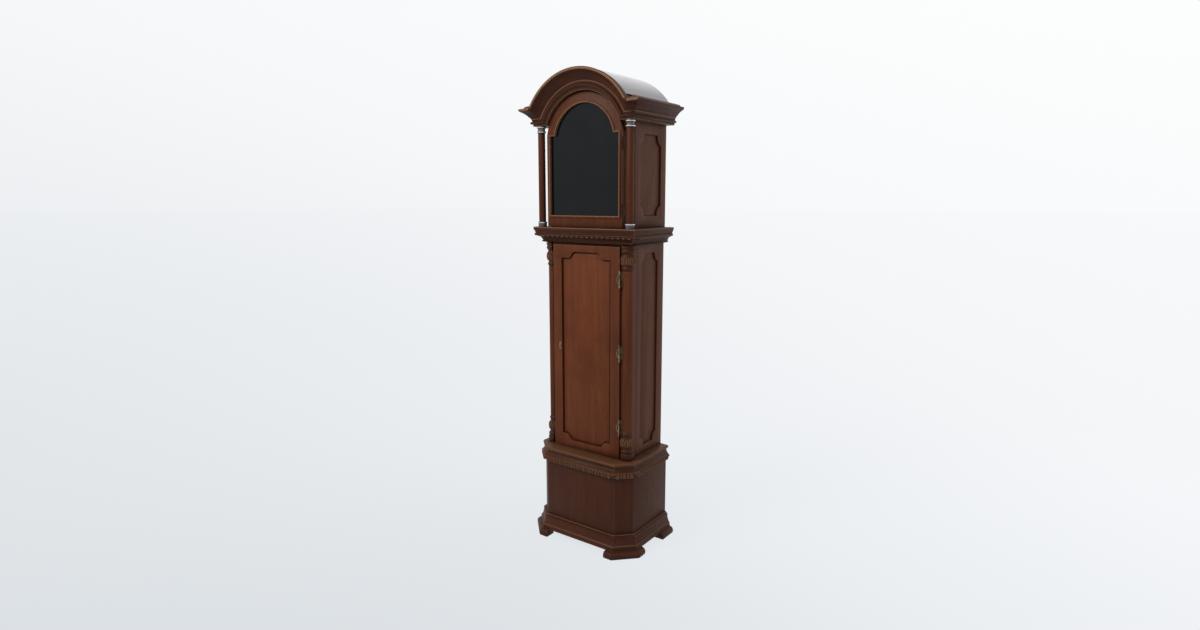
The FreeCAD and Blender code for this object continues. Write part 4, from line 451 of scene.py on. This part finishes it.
CORNICE_FILLETS = ((0.0285, 0.031, 0.7), (0.007, 0.0085, 0.4), (0.0, 0.0015, 0.4))
WAIST_FILLETS = ((1.3716, 1.373, 0.8), (1.4395, 1.4425, 0.5), (1.4175, 1.4185, 0.5))
BASE_FILLETS = ((0.361, 0.3625, 0.85), (0.3865, 0.3875, 0.4), (0.407, 0.4315, 0.22))
SKIRT_FILLETS = ((0.0945, 0.0965, 0.75), (0.05, 0.0515, 0.4), (0.031, 0.0325, 0.4))
SIGHT_FILLETS = ((-0.002, 0.0028, 0.75),)

# Each finish gives how deep the painted shade in its quirks is, and how strong the painted
# highlight, partly rubbed polish, on its outward edges is
UPRIGHT_WOOD = polished_wood("wood_upright", "Z", painted_shade=0.6, wear_and_highlight=0.6)
SIDE_WOOD = polished_wood("wood_side", "Z", tone=0.95, red=0.92)
PANEL_WOOD = polished_wood("wood_panel", "Z", tone=1.12, red=1.02, painted_shade=0.45)
PLINTH_WOOD = polished_wood("wood_plinth", "Z", tone=0.5, wear_and_highlight=0.1)
FOOT_WOOD = polished_wood("wood_feet", "X", tone=0.55, wear_and_highlight=0.5)
INSIDE_WOOD = polished_wood("wood_inside", "Z", tone=0.9)
COLUMN_WOOD = polished_wood("wood_column", "Z", tone=0.72, wear_and_highlight=0.5)
CARVED_WOOD = polished_wood("wood_carved", "Z", tone=0.6, painted_shade=0.9, wear_and_highlight=0.5)
ROPE_WOOD = polished_wood("wood_rope", "Z", tone=1.05, painted_shade=1.0, wear_and_highlight=0.9)
MOULDING_WOOD = polished_wood("wood_moulding", "X", tone=0.55, painted_shade=0.9)
CORNICE_WOOD = polished_wood(
    "wood_cornice", "X", tone=0.5, painted_shade=0.9, wear_and_highlight=0.0, level=cornice_height, fillets=CORNICE_FILLETS
)
WAIST_WOOD = polished_wood(
    "wood_waist", "X", tone=0.5, painted_shade=0.9, wear_and_highlight=0.1, level=floor_height, fillets=WAIST_FILLETS
)
BASE_WOOD = polished_wood(
    "wood_base", "X", tone=0.55, painted_shade=0.9, wear_and_highlight=0.1, level=floor_height, fillets=BASE_FILLETS
)
SKIRT_WOOD = polished_wood(
    "wood_skirt", "X", tone=0.55, painted_shade=0.9, wear_and_highlight=0.1, level=floor_height, fillets=SKIRT_FILLETS
)
HOOD_DOOR_WOOD = polished_wood(
    "wood_hood_door", "Z", tone=0.8, painted_shade=0.6, level=sight_margin, fillets=SIGHT_FILLETS
)
BRASS = metal("antique_brass", paint(150, 132, 104), paint(84, 70, 52), 0.42)
BRONZE = metal("dark_bronze", paint(64, 44, 34), paint(38, 26, 20), 0.5)
INK = metal("black_wax", paint(22, 20, 22), paint(14, 13, 15), 0.5)
CLOCK_BRASS = metal("clock_brass", paint(214, 180, 110), paint(178, 142, 80), 0.26)
STEEL = metal("steel", paint(168, 168, 172), paint(110, 110, 114), 0.32)
BLUED_STEEL = metal("blued_steel", paint(38, 44, 74), paint(22, 24, 38), 0.3)
SILVER = ringed_metal()
GLASS = dark_glass()
ROOF = pale_roof()
DIAL = dial_paint()
GUT = twisted_gut()

WOODEN = {
    "feet_front": FOOT_WOOD,
    "feet_back": FOOT_WOOD,
    "skirt_moulding": SKIRT_WOOD,
    "plinth_front": PLINTH_WOOD,
    "plinth_corners": PLINTH_WOOD,
    "plinth_sides": PLINTH_WOOD,
    "plinth_bottom": INSIDE_WOOD,
    "base_moulding": BASE_WOOD,
    "backboard": INSIDE_WOOD,
    "trunk_side_right": SIDE_WOOD,
    "trunk_side_left": SIDE_WOOD,
    "trunk_side_panels": SIDE_WOOD,
    "trunk_front_frame": UPRIGHT_WOOD,
    "quarter_column_right": UPRIGHT_WOOD,
    "quarter_column_left": UPRIGHT_WOOD,
    "quarter_column_ends": MOULDING_WOOD,
    "waist_moulding": WAIST_WOOD,
    "seat_supports": INSIDE_WOOD,
    "seat_board": INSIDE_WOOD,
    "trunk_door_frame": UPRIGHT_WOOD,
    "trunk_door_panel": PANEL_WOOD,
    "hood_base_frame": WAIST_WOOD,
    "hood_side_right": SIDE_WOOD,
    "hood_side_left": SIDE_WOOD,
    "hood_side_panels": SIDE_WOOD,
    "hood_front_frame": UPRIGHT_WOOD,
    "hood_cornice": CORNICE_WOOD,
    "hood_column_right": COLUMN_WOOD,
    "hood_column_left": COLUMN_WOOD,
    "hood_door_frame": HOOD_DOOR_WOOD,
}

METALWORK = {
    "trunk_hinge_case_leaves": BRASS,
    "trunk_hinge_door_leaves": BRASS,
    "trunk_door_escutcheon": BRASS,
    "trunk_door_lock": STEEL,
    "trunk_lock_bolt": STEEL,
    "hood_hinge_leaves": BRONZE,
    "hood_door_hinge_leaves": BRONZE,
    "hood_column_mounts": SILVER,
    "movement_plates": CLOCK_BRASS,
    "movement_pillars": CLOCK_BRASS,
    "barrel": CLOCK_BRASS,
    "great_wheel": CLOCK_BRASS,
    "centre_wheel": CLOCK_BRASS,
    "third_wheel": CLOCK_BRASS,
    "escape_wheel": CLOCK_BRASS,
    "minute_wheel": CLOCK_BRASS,
    "anchor": STEEL,
    "back_cock": CLOCK_BRASS,
    "pendulum_rod": STEEL,
    "pendulum_bob": CLOCK_BRASS,
    "hour_hand": BLUED_STEEL,
    "minute_hand": BLUED_STEEL,
    "weight": CLOCK_BRASS,
    "weight_pulley": CLOCK_BRASS,
}

OTHERS = {
    "hood_roof": ROOF,
    "hood_door_glass": GLASS,
    "dial": DIAL,
    "gut_line": GUT,
    "gut_line_ends": GUT,
    "gut_line_bight": GUT,
}


# Making pieces

def pick(piece):
    """Only this piece is selected, and it is the one that is worked on."""
    bpy.ops.object.select_all(action="DESELECT")
    piece.select_set(True)
    bpy.context.view_layer.objects.active = piece


def finish_with(piece, material):
    """One finish all over a piece."""
    piece.data.materials.clear()
    piece.data.materials.append(material)


FACETED_METAL = ("hood_column_mounts", "pendulum_bob", "weight", "barrel", "weight_pulley")


def eased_copy(node, ease):
    """The same piece with its edges eased and its curves smooth, in place of the plain one."""
    plain = NODES[node]
    piece = bpy.data.objects.new(node + "_eased", plain.data.copy())
    bpy.context.scene.collection.objects.link(piece)
    pick(piece)
    bpy.ops.object.mode_set(mode="EDIT")
    bpy.ops.mesh.select_all(action="SELECT")
    bpy.ops.mesh.remove_doubles(threshold=WELD)
    bpy.ops.mesh.customdata_custom_splitnormals_clear()
    bpy.ops.mesh.dissolve_limited(angle_limit=FLAT_ANGLE)
    bpy.ops.object.mode_set(mode="OBJECT")
    bevel = piece.modifiers.new("eased_edges", "BEVEL")
    bevel.width = ease
    bevel.segments = 2
    bevel.limit_method = "ANGLE"
    bevel.angle_limit = SMOOTH_ANGLE
    bpy.ops.object.modifier_apply(modifier=bevel.name)
    bpy.ops.object.shade_smooth_by_angle(angle=SMOOTH_ANGLE)
    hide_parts(node)
    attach(piece, plain["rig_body"])
    return piece


for finishes in (WOODEN, METALWORK, OTHERS):
    for node, material in finishes.items():
        finish_with(NODES[node], material)

for node, material in WOODEN.items():
    finish_with(eased_copy(node, WOOD_EASE), material)
for node in FACETED_METAL:
    finish_with(eased_copy(node, METAL_EASE), METALWORK[node])


# Carving

UNIT_RADIUS = 0.5


class Form(NamedTuple):
    """A carved form: its size, how its tip is drawn in, its vein, and how finely it is cut."""

    width: float
    height: float
    proud: float
    tip_from: float = 0.0
    tip_share: float = 1.0
    vein_half: float = 0.0
    vein_depth: float = 0.0
    segments: int = 12
    rings: int = 8


def smoothed(piece):
    pick(piece)
    bpy.ops.object.shade_smooth_by_angle(angle=SMOOTH_ANGLE)
    return piece


def half_dome(name, form):
    """The front half of a ball, flattened: the blank that a carved form starts from."""
    bpy.ops.object.select_all(action="DESELECT")
    bpy.ops.mesh.primitive_uv_sphere_add(
        segments=form.segments, ring_count=form.rings, radius=UNIT_RADIUS
    )
    blank = bpy.context.object
    blank.name = name
    bpy.ops.object.mode_set(mode="EDIT")
    bpy.ops.mesh.select_all(action="SELECT")
    bpy.ops.mesh.bisect(
        plane_co=(0, 0, 0), plane_no=(0, 1, 0), use_fill=True, clear_outer=True
    )
    bpy.ops.mesh.select_all(action="SELECT")
    size = (form.width, form.proud * 2, form.height)
    bpy.ops.transform.resize(value=size, center_override=(0, 0, 0))
    bpy.ops.object.mode_set(mode="OBJECT")
    return blank


def carved(name, form):
    """A form cut from its blank: its tip is drawn in, and then a vein is cut down its middle."""
    blank = half_dome(name, form)
    for vertex in blank.data.vertices:
        if vertex.co.z > form.tip_from:
            vertex.co.x *= form.tip_share
        if abs(vertex.co.x) < form.vein_half:
            vertex.co.y += form.vein_depth
    return smoothed(blank)


def placed(point, turn=0.0, lean=0.0, roll=0.0):
    """Where a carved form goes: its face turned about the upright, leant out and rolled."""
    return (
        Matrix.Translation(point)
        @ Matrix.Rotation(turn, 4, "Z")
        @ Matrix.Rotation(lean, 4, "X")
        @ Matrix.Rotation(roll, 4, "Y")
    )


def along(start, end, turn, outward, level, pitch, first=0.5, **pose):
    """Evenly spaced places on a straight run of moulding; the first one is a share of a pitch in."""
    start = Vector(start)
    run = Vector(end) - start
    out = Vector((math.sin(turn), -math.cos(turn)))
    count = round(run.length / pitch)
    places = []
    for number in range(math.ceil(count - first)):
        point = start + run * ((number + first) / count) + out * outward
        places.append(placed((point.x, point.y, level), turn=turn, **pose))
    return places


def repeated(pattern, name, places, material, body):
    """Copies of one form, joined in one piece, in place of the pattern that they were made from."""
    bpy.ops.object.select_all(action="DESELECT")
    copies = []
    for place in places:
        copy = bpy.data.objects.new(name, pattern.data.copy())
        bpy.context.scene.collection.objects.link(copy)
        copy.data.transform(place)
        copy.select_set(True)
        copies.append(copy)
    bpy.context.view_layer.objects.active = copies[0]
    bpy.ops.object.join()
    carving = bpy.context.object
    carving.name = name
    finish_with(carving, material)
    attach(carving, body)
    bpy.data.objects.remove(pattern)
    return carving


RIGHT_ANGLE = math.pi / 2
HALF_CORNER = math.pi / 4
CASE_BACK = 0.1936

# Base moulding

PLINTH_HALF = 0.2512
PLINTH_FRONT = -0.1479
PLINTH_CUT = 0.0642
PLINTH_CORNERS = (
    (-PLINTH_HALF, CASE_BACK),
    (-PLINTH_HALF, PLINTH_FRONT + PLINTH_CUT),
    (-PLINTH_HALF + PLINTH_CUT, PLINTH_FRONT),
    (PLINTH_HALF - PLINTH_CUT, PLINTH_FRONT),
    (PLINTH_HALF, PLINTH_FRONT + PLINTH_CUT),
    (PLINTH_HALF, CASE_BACK),
)
PLINTH_TURNS = (-RIGHT_ANGLE, -HALF_CORNER, 0.0, HALF_CORNER, RIGHT_ANGLE)
BASE_LEAF = Form(0.021, 0.026, 0.0075, 0.003, 0.45, vein_half=0.0012, vein_depth=0.004)
BASE_DART = Form(0.0085, 0.024, 0.006, 0.002, 0.6, segments=8, rings=6)
BASE_ROW = {"outward": 0.0148, "level": 0.3738, "pitch": 0.033, "lean": math.radians(10)}


def base_leaves():
    """A row of pointed leaves on the swelling under the base moulding's nose, darts between."""
    leaves = []
    darts = []
    for run in zip(PLINTH_CORNERS, PLINTH_CORNERS[1:], PLINTH_TURNS):
        leaves += along(*run, **BASE_ROW)
        darts += along(*run, **BASE_ROW, first=1)
    repeated(carved("leaf", BASE_LEAF), "base_leaves", leaves, CARVED_WOOD, "case")
    repeated(carved("dart", BASE_DART), "base_darts", darts, CARVED_WOOD, "case")


# Waist moulding

WAIST_HALF = 0.221
WAIST_FRONT = -0.0764
WAIST_FRONT_SPREAD = 0.036
WAIST_LEAF = Form(
    0.011, 0.024, 0.0045, 0.003, 0.5, vein_half=0.0008, vein_depth=0.0014, segments=10
)
WAIST_BEAD = Form(0.007, 0.007, 0.0045, segments=8, rings=6)
WAIST_ROW = {"outward": 0.0425, "level": 1.4075, "pitch": 0.027}
WAIST_LEAF_ROLL = math.radians(72)
WAIST_RUNS = (
    ((-WAIST_HALF, CASE_BACK), (-WAIST_HALF, WAIST_FRONT), -RIGHT_ANGLE),
    (
        (-WAIST_HALF - WAIST_FRONT_SPREAD, WAIST_FRONT),
        (WAIST_HALF + WAIST_FRONT_SPREAD, WAIST_FRONT),
        0.0,
    ),
    ((WAIST_HALF, WAIST_FRONT), (WAIST_HALF, CASE_BACK), RIGHT_ANGLE),
)


def waist_leaves():
    """Small lying leaves along the nose of the waist moulding, with a bead between each two."""
    lying = Matrix.Rotation(WAIST_LEAF_ROLL, 4, "Y")
    half_step = Matrix.Translation((WAIST_ROW["pitch"] / 2, 0, 0))
    leaves = []
    beads = []
    for run in WAIST_RUNS:
        places = along(*run, **WAIST_ROW)
        leaves += [place @ lying for place in places]
        beads += [place @ half_step for place in places[:-1]]
    repeated(carved("waist_leaf", WAIST_LEAF), "waist_leaves", leaves, CARVED_WOOD, "case")
    repeated(carved("waist_bead", WAIST_BEAD), "waist_beads", beads, CARVED_WOOD, "case")


# Rope on the cornice

CORNICE_HALF = 0.3082
CORNICE_FRONT = -0.1682
SHOULDER_START = 0.256
ROPE_BACK = 0.1906
ROPE_STRAND = Form(0.0075, 0.0145, 0.0034, segments=8)
ROPE_ROW = {"outward": 0.0, "level": 1.9495, "pitch": 0.0095, "roll": math.radians(52)}
ROPE_RUNS = (
    ((-CORNICE_HALF, ROPE_BACK), (-CORNICE_HALF, CORNICE_FRONT), -RIGHT_ANGLE),
    ((-CORNICE_HALF, CORNICE_FRONT), (-SHOULDER_START, CORNICE_FRONT), 0.0),
    ((SHOULDER_START, CORNICE_FRONT), (CORNICE_HALF, CORNICE_FRONT), 0.0),
    ((CORNICE_HALF, CORNICE_FRONT), (CORNICE_HALF, ROPE_BACK), RIGHT_ANGLE),
)
ARCH_ROPE_RADIUS = 0.2865
ARCH_ROPE_END = math.radians(59)


def arch_rope_places():
    """Places of the strands over the arch, from its left end to its right end."""
    count = round(ARCH_ROPE_RADIUS * ARCH_ROPE_END * 2 / ROPE_ROW["pitch"])
    places = []
    for number in range(count):
        angle = ARCH_ROPE_END * (2 * (number + 0.5) / count - 1)
        point = (
            ARCH_ROPE_RADIUS * math.sin(angle),
            CORNICE_FRONT,
            ARCH_CENTRE_LEVEL + ARCH_ROPE_RADIUS * math.cos(angle),
        )
        places.append(placed(point, roll=angle + ROPE_ROW["roll"]))
    return places


def cornice_rope():
    """A twisted rope carved along the cornice's rim, over the arch too."""
    places = []
    for run in ROPE_RUNS:
        places += along(*run, **ROPE_ROW)
    places += arch_rope_places()
    repeated(carved("strand", ROPE_STRAND), "cornice_rope", places, ROPE_WOOD, "hood")


# Ends of the quarter columns

QUARTER_HALF = 0.201
QUARTER_DEPTH = -0.0674
VASE_LEVELS = (1.3115, 0.5105)
VASE_RADIUS = 0.0262
VASE_LEAF = Form(
    0.019, 0.044, 0.0095, 0.008, 0.5, vein_half=0.0016, vein_depth=0.005, rings=10
)
VASE_LEAF_COUNT = 6
VASE_LEAF_FIRST = math.radians(-22)
VASE_LEAF_STEP = math.radians(28)


def vase_leaves():
    """Upright leaves round the turned ends of the quarter columns."""
    places = []
    for side in (1, -1):
        for level in VASE_LEVELS:
            for number in range(VASE_LEAF_COUNT):
                turn = (VASE_LEAF_FIRST + VASE_LEAF_STEP * number) * side
                x = side * QUARTER_HALF + VASE_RADIUS * math.sin(turn)
                y = QUARTER_DEPTH - VASE_RADIUS * math.cos(turn)
                places.append(placed((x, y, level), turn=turn))
    repeated(carved("vase_leaf", VASE_LEAF), "vase_leaves", places, CARVED_WOOD, "case")


base_leaves()
waist_leaves()
cornice_rope()
vase_leaves()


# Trunk hinges, whose plates and knuckles are given as width or radius, and height

HINGE_LEVELS = (0.579, 0.91, 1.2295)
HINGE_AXIS = Vector((0.1815, -0.1024, 0.0))
LEAF_CENTRE = Vector((0.1728, -0.1002, 0.0))
LEAF_THICK = 0.0015
MIDDLE_LOBE = (0.0145, 0.02)
END_LOBE = (0.0105, 0.014)
END_LOBE_SHIFT = 0.0015
END_LOBE_RISE = 0.0115
NECK_LOBE = (0.012, 0.0205)
NECK_SHIFT = 0.004
KNUCKLE = (0.0032, 0.0214)
FINIAL = (0.0026, 0.006)
FINIAL_RISE = 0.0355
ROUNDING_SHARE = 1 / 6
PLATE_SIDES = 24
KNUCKLE_SIDES = 20


def lobe(name, width, height):
    """A round plate that faces forward, with softened rims."""
    bpy.ops.object.select_all(action="DESELECT")
    bpy.ops.mesh.primitive_cylinder_add(vertices=PLATE_SIDES, radius=UNIT_RADIUS, depth=1)
    plate = bpy.context.object
    plate.name = name
    bpy.ops.object.mode_set(mode="EDIT")
    bpy.ops.mesh.select_all(action="SELECT")
    bpy.ops.transform.rotate(value=RIGHT_ANGLE, orient_axis="X", center_override=(0, 0, 0))
    bpy.ops.transform.resize(value=(width, LEAF_THICK, height), center_override=(0, 0, 0))
    bpy.ops.mesh.bevel(offset=METAL_EASE, segments=1)
    bpy.ops.object.mode_set(mode="OBJECT")
    return smoothed(plate)


def knuckle(name, radius, height):
    """An upright barrel, rounded at its ends."""
    bpy.ops.object.select_all(action="DESELECT")
    bpy.ops.mesh.primitive_cylinder_add(vertices=KNUCKLE_SIDES, radius=radius, depth=height)
    barrel = bpy.context.object
    barrel.name = name
    bpy.ops.object.mode_set(mode="EDIT")
    bpy.ops.mesh.select_all(action="SELECT")
    bpy.ops.mesh.bevel(offset=radius * ROUNDING_SHARE, segments=2)
    bpy.ops.object.mode_set(mode="OBJECT")
    return smoothed(barrel)


def at_hinges(centre, shift=0.0, rises=(0.0,)):
    """Places at all three hinges, moved sideways and up or down from a centre."""
    return [
        Matrix.Translation(centre + Vector((shift, 0.0, level + rise)))
        for level in HINGE_LEVELS
        for rise in rises
    ]


def hinge_shells():
    """The scalloped leaves on the door, with the knuckle that each one carries."""
    middles = at_hinges(LEAF_CENTRE)
    ends = at_hinges(LEAF_CENTRE, END_LOBE_SHIFT, (-END_LOBE_RISE, END_LOBE_RISE))
    necks = at_hinges(LEAF_CENTRE, NECK_SHIFT)
    knuckles = at_hinges(HINGE_AXIS)
    shells = repeated(lobe("middle", *MIDDLE_LOBE), "hinge_shells", middles, BRASS, "trunk_door")
    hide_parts("trunk_hinge_door_leaves")
    repeated(lobe("end", *END_LOBE), "hinge_shell_ends", ends, BRASS, "trunk_door")
    repeated(lobe("neck", *NECK_LOBE), "hinge_necks", necks, BRASS, "trunk_door")
    repeated(knuckle("knuckle", *KNUCKLE), "hinge_knuckles", knuckles, BRASS, "trunk_door")


def hinge_finials():
    """A small ball above and below each hinge of the trunk door."""
    places = at_hinges(HINGE_AXIS, rises=(-FINIAL_RISE, FINIAL_RISE))
    repeated(knuckle("finial", *FINIAL), "hinge_finials", places, BRASS, "case")


hinge_shells()
hinge_finials()


# Gut line, whose falls shorten as the weight is wound up


def gut_falls():
    """The two falls in place of the solid ones, which flatten towards the seat board."""
    plain = NODES["gut_line"]
    falls = bpy.data.objects.new("gut_falls", plain.data.copy())
    bpy.context.scene.collection.objects.link(falls)
    pick(falls)
    bpy.ops.object.mode_set(mode="EDIT")
    bpy.ops.mesh.select_all(action="SELECT")
    bpy.ops.mesh.remove_doubles(threshold=WELD)
    bpy.ops.object.mode_set(mode="OBJECT")
    smoothed(falls)
    finish_with(falls, GUT)
    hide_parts("gut_line")
    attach(falls, "case")
    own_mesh(falls)


gut_falls()


# Dial

DIAL_CENTRE = Vector((0.0, -0.0644, 1.678))
CHAPTER_RADIUS = 0.128
CHAPTER_HEIGHT = 0.022
MINUTE_RADIUS = 0.148
RELIEF = 0.0004
THIN_STROKE = 0.0013
THICK_STROKE = 0.0036
STROKE_CORNER_SHARE = 1 / 8
MINUTE_MARK = (THIN_STROKE, 0.005)
FIVE_MINUTE_MARK = (0.0026, 0.0065)
DIAL_RING_RADII = (0.1455, 0.1505, 0.1135)
DIAL_RING_LINE = 0.0004
DIAL_RING_FLATNESS = 0.5
DIAL_RING_STEPS = 128
DIAL_RING_SIDES = 6
HOURS = 12
MINUTES = 60

# The strokes of each letter, as a shift sideways, a slant and a width

ROMAN = ("XII", "I", "II", "III", "IIII", "V", "VI", "VII", "VIII", "IX", "X", "XI")
V_SHIFT = 0.0032
V_SLANT = 0.28
X_SLANT = 0.34
LETTER_STROKES = {
    "I": ((0.0, 0.0, THICK_STROKE),),
    "V": ((-V_SHIFT, V_SLANT, THICK_STROKE), (V_SHIFT, -V_SLANT, THIN_STROKE)),
    "X": ((0.0, X_SLANT, THICK_STROKE), (0.0, -X_SLANT, THIN_STROKE)),
}
LETTER_WIDTHS = {"I": 0.0062, "V": 0.0125, "X": 0.0125}


def stroke(width, height):
    """One painted stroke: a thin plate with softened corners."""
    bpy.ops.object.select_all(action="DESELECT")
    bpy.ops.mesh.primitive_cube_add(size=1)
    plate = bpy.context.object
    bpy.ops.object.mode_set(mode="EDIT")
    bpy.ops.mesh.select_all(action="SELECT")
    bpy.ops.transform.resize(value=(width, RELIEF, height), center_override=(0, 0, 0))
    bpy.ops.mesh.bevel(offset=width * STROKE_CORNER_SHARE, segments=1)
    bpy.ops.object.mode_set(mode="OBJECT")
    return plate


def on_dial(radius, share):
    """A place on the dial's face, upright towards the rim, a share of the way clockwise."""
    return Matrix.Translation(DIAL_CENTRE) @ Matrix.Rotation(math.tau * share, 4, "Y") @ (
        Matrix.Translation((0, 0, radius))
    )


def numeral_strokes(hour, numeral):
    """The strokes of one numeral, each as its width and its place."""
    strokes = []
    across = -sum(LETTER_WIDTHS[letter] for letter in numeral) / 2
    for letter in numeral:
        middle = across + LETTER_WIDTHS[letter] / 2
        across += LETTER_WIDTHS[letter]
        for shift, slant, width in LETTER_STROKES[letter]:
            sideways = Matrix.Translation((middle + shift, 0, 0))
            turned = Matrix.Rotation(-slant, 4, "Y")
            place = on_dial(CHAPTER_RADIUS, hour / HOURS) @ (sideways @ turned)
            strokes.append((width, place))
    return strokes


def hour_numerals():
    """Roman hours, in thick and thin strokes."""
    strokes = {THICK_STROKE: [], THIN_STROKE: []}
    for hour, numeral in enumerate(ROMAN):
        for width, place in numeral_strokes(hour, numeral):
            strokes[width].append(place)
    for name, width in (("hours_bold", THICK_STROKE), ("hours_fine", THIN_STROKE)):
        repeated(stroke(width, CHAPTER_HEIGHT), name, strokes[width], INK, "case")


def minute_scale():
    """A mark at each minute, bolder at each hour."""
    minutes = [on_dial(MINUTE_RADIUS, step / MINUTES) for step in range(MINUTES) if step % 5]
    fives = [on_dial(MINUTE_RADIUS, step / HOURS) for step in range(HOURS)]
    repeated(stroke(*MINUTE_MARK), "minute_marks", minutes, INK, "case")
    repeated(stroke(*FIVE_MINUTE_MARK), "five_minute_marks", fives, INK, "case")


def dial_rings():
    """Fine painted rings either side of the minute marks, and one inside the hours."""
    for number, radius in enumerate(DIAL_RING_RADII):
        bpy.ops.object.select_all(action="DESELECT")
        bpy.ops.mesh.primitive_torus_add(
            major_radius=radius,
            minor_radius=DIAL_RING_LINE,
            major_segments=DIAL_RING_STEPS,
            minor_segments=DIAL_RING_SIDES,
        )
        ring = bpy.context.object
        ring.name = "dial_ring_%d" % number
        bpy.ops.object.mode_set(mode="EDIT")
        bpy.ops.mesh.select_all(action="SELECT")
        bpy.ops.transform.resize(value=(1, 1, DIAL_RING_FLATNESS), center_override=(0, 0, 0))
        bpy.ops.object.mode_set(mode="OBJECT")
        ring.data.transform(
            Matrix.Translation(DIAL_CENTRE) @ Matrix.Rotation(RIGHT_ANGLE, 4, "X")
        )
        smoothed(ring)
        finish_with(ring, INK)
        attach(ring, "case")


hour_numerals()
minute_scale()
dial_rings()


# Floor, light and camera

SKY_STOPS = (
    (0.0, paint(211, 216, 220)),
    (0.3, paint(232, 235, 238)),
    (0.6, paint(246, 247, 249)),
    (1.0, paint(253, 254, 254)),
)
GRADIENT_ACROSS = Vector((0.28, 0.2, 1.0))
GRADIENT_LOW = -0.7
GRADIENT_HIGH = 0.45
SURROUND_LIGHT = paint(236, 241, 247)
SURROUND_STRENGTH = 0.45
FLOOR_SIZE = 200
FLOOR_GLOW = 1.06
FLOOR_GLOW_SHARE = 0.9


def studio_shade(finish, direction):
    """The pale surround, which darkens downward and to the left of the photograph's view."""
    across = finish.add("ShaderNodeVectorMath", operation="DOT_PRODUCT")
    finish.join(direction, across.inputs[0])
    across.inputs[1].default_value = GRADIENT_ACROSS
    share = finish.span(across.outputs["Value"], GRADIENT_LOW, GRADIENT_HIGH, 0.0, 1.0)
    return finish.ramp(share, *SKY_STOPS)


def is_seen(finish):
    """Rays that come straight from the camera, or by way of metal or glass."""
    path = finish.add("ShaderNodeLightPath").outputs
    seen = finish.math("MAXIMUM", path["Is Camera Ray"], path["Is Glossy Ray"])
    return finish.math("MAXIMUM", seen, path["Is Transmission Ray"])


def pale_floor():
    """Seen as part of the surround, with a soft trace of the clock's shadow."""
    finish = Finish("pale_floor")
    finish.set(Base_Color=paint(225, 228, 233), Roughness=0.9, Specular_IOR_Level=0.0)
    from_view = finish.add("ShaderNodeVectorMath", operation="SUBTRACT")
    finish.join(finish.place, from_view.inputs[0])
    from_view.inputs[1].default_value = CAMERA_PLACE
    direction = finish.add("ShaderNodeVectorMath", operation="NORMALIZE")
    finish.join(from_view.outputs["Vector"], direction.inputs[0])
    glow = finish.add("ShaderNodeEmission")
    glow.inputs["Strength"].default_value = FLOOR_GLOW
    finish.join(studio_shade(finish, direction.outputs["Vector"]), glow.inputs["Color"])
    mix = finish.add("ShaderNodeMixShader")
    finish.join(finish.math("MULTIPLY", is_seen(finish), FLOOR_GLOW_SHARE), mix.inputs["Fac"])
    finish.join(finish.shader.outputs["BSDF"], mix.inputs[1])
    finish.join(glow.outputs["Emission"], mix.inputs[2])
    surface = finish.tree.nodes["Material Output"].inputs["Surface"]
    finish.join(mix.outputs["Shader"], surface)
    return finish.material


class Surround(Finish):
    """The world's own nodes, worked in the same way as a material's."""

    def __init__(self, name, colour, strength):
        self.world = bpy.data.worlds.new(name)
        self.world.use_nodes = True
        self.tree = self.world.node_tree
        light = self.tree.nodes["Background"]
        light.inputs["Color"].default_value = colour
        light.inputs["Strength"].default_value = strength
        backdrop = self.add("ShaderNodeBackground")
        direction = self.add("ShaderNodeTexCoord").outputs["Generated"]
        self.join(studio_shade(self, direction), backdrop.inputs["Color"])
        mix = self.add("ShaderNodeMixShader")
        self.join(is_seen(self), mix.inputs["Fac"])
        self.join(light.outputs["Background"], mix.inputs[1])
        self.join(backdrop.outputs["Background"], mix.inputs[2])
        self.join(mix.outputs["Shader"], self.tree.nodes["World Output"].inputs["Surface"])


bpy.ops.object.select_all(action="DESELECT")
bpy.ops.mesh.primitive_plane_add(size=FLOOR_SIZE)
floor = bpy.context.object
floor.name = "floor"
finish_with(floor, pale_floor())

bpy.context.scene.world = Surround("studio", SURROUND_LIGHT, SURROUND_STRENGTH).world


LAMP_TARGET = Vector((0, 0, 1.2))
LAMPS = (
    ("key", (-1.2, -3.2, 4.2), 2.0, 130, (1, 0.97, 0.92)),
    ("side", (3.0, 2.2, 1.6), 2.0, 14, (0.9, 0.94, 1)),
    ("top", (0.2, 0.4, 4.4), 1.6, 30, (1, 1, 1)),
)


def softbox(name, place, size, power, colour):
    """A large soft lamp that faces the middle of the clock."""
    bpy.ops.object.light_add(type="AREA", location=place)
    lamp = bpy.context.object
    lamp.name = name
    lamp.data.shape = "SQUARE"
    lamp.data.size = size
    lamp.data.energy = power
    lamp.data.color = colour
    lamp.rotation_euler = (LAMP_TARGET - Vector(place)).to_track_quat("-Z", "Y").to_euler()


for lamp in LAMPS:
    softbox(*lamp)

bpy.ops.object.camera_add(location=CAMERA_PLACE)
camera = bpy.context.object
camera.name = "photograph_view"
camera.rotation_euler = (CAMERA_TARGET - CAMERA_PLACE).to_track_quat("-Z", "Y").to_euler()
camera.data.sensor_width = FILM_WIDTH
camera.data.lens = LENS
bpy.context.scene.camera = camera

bpy.context.scene.view_settings.view_transform = "Standard"
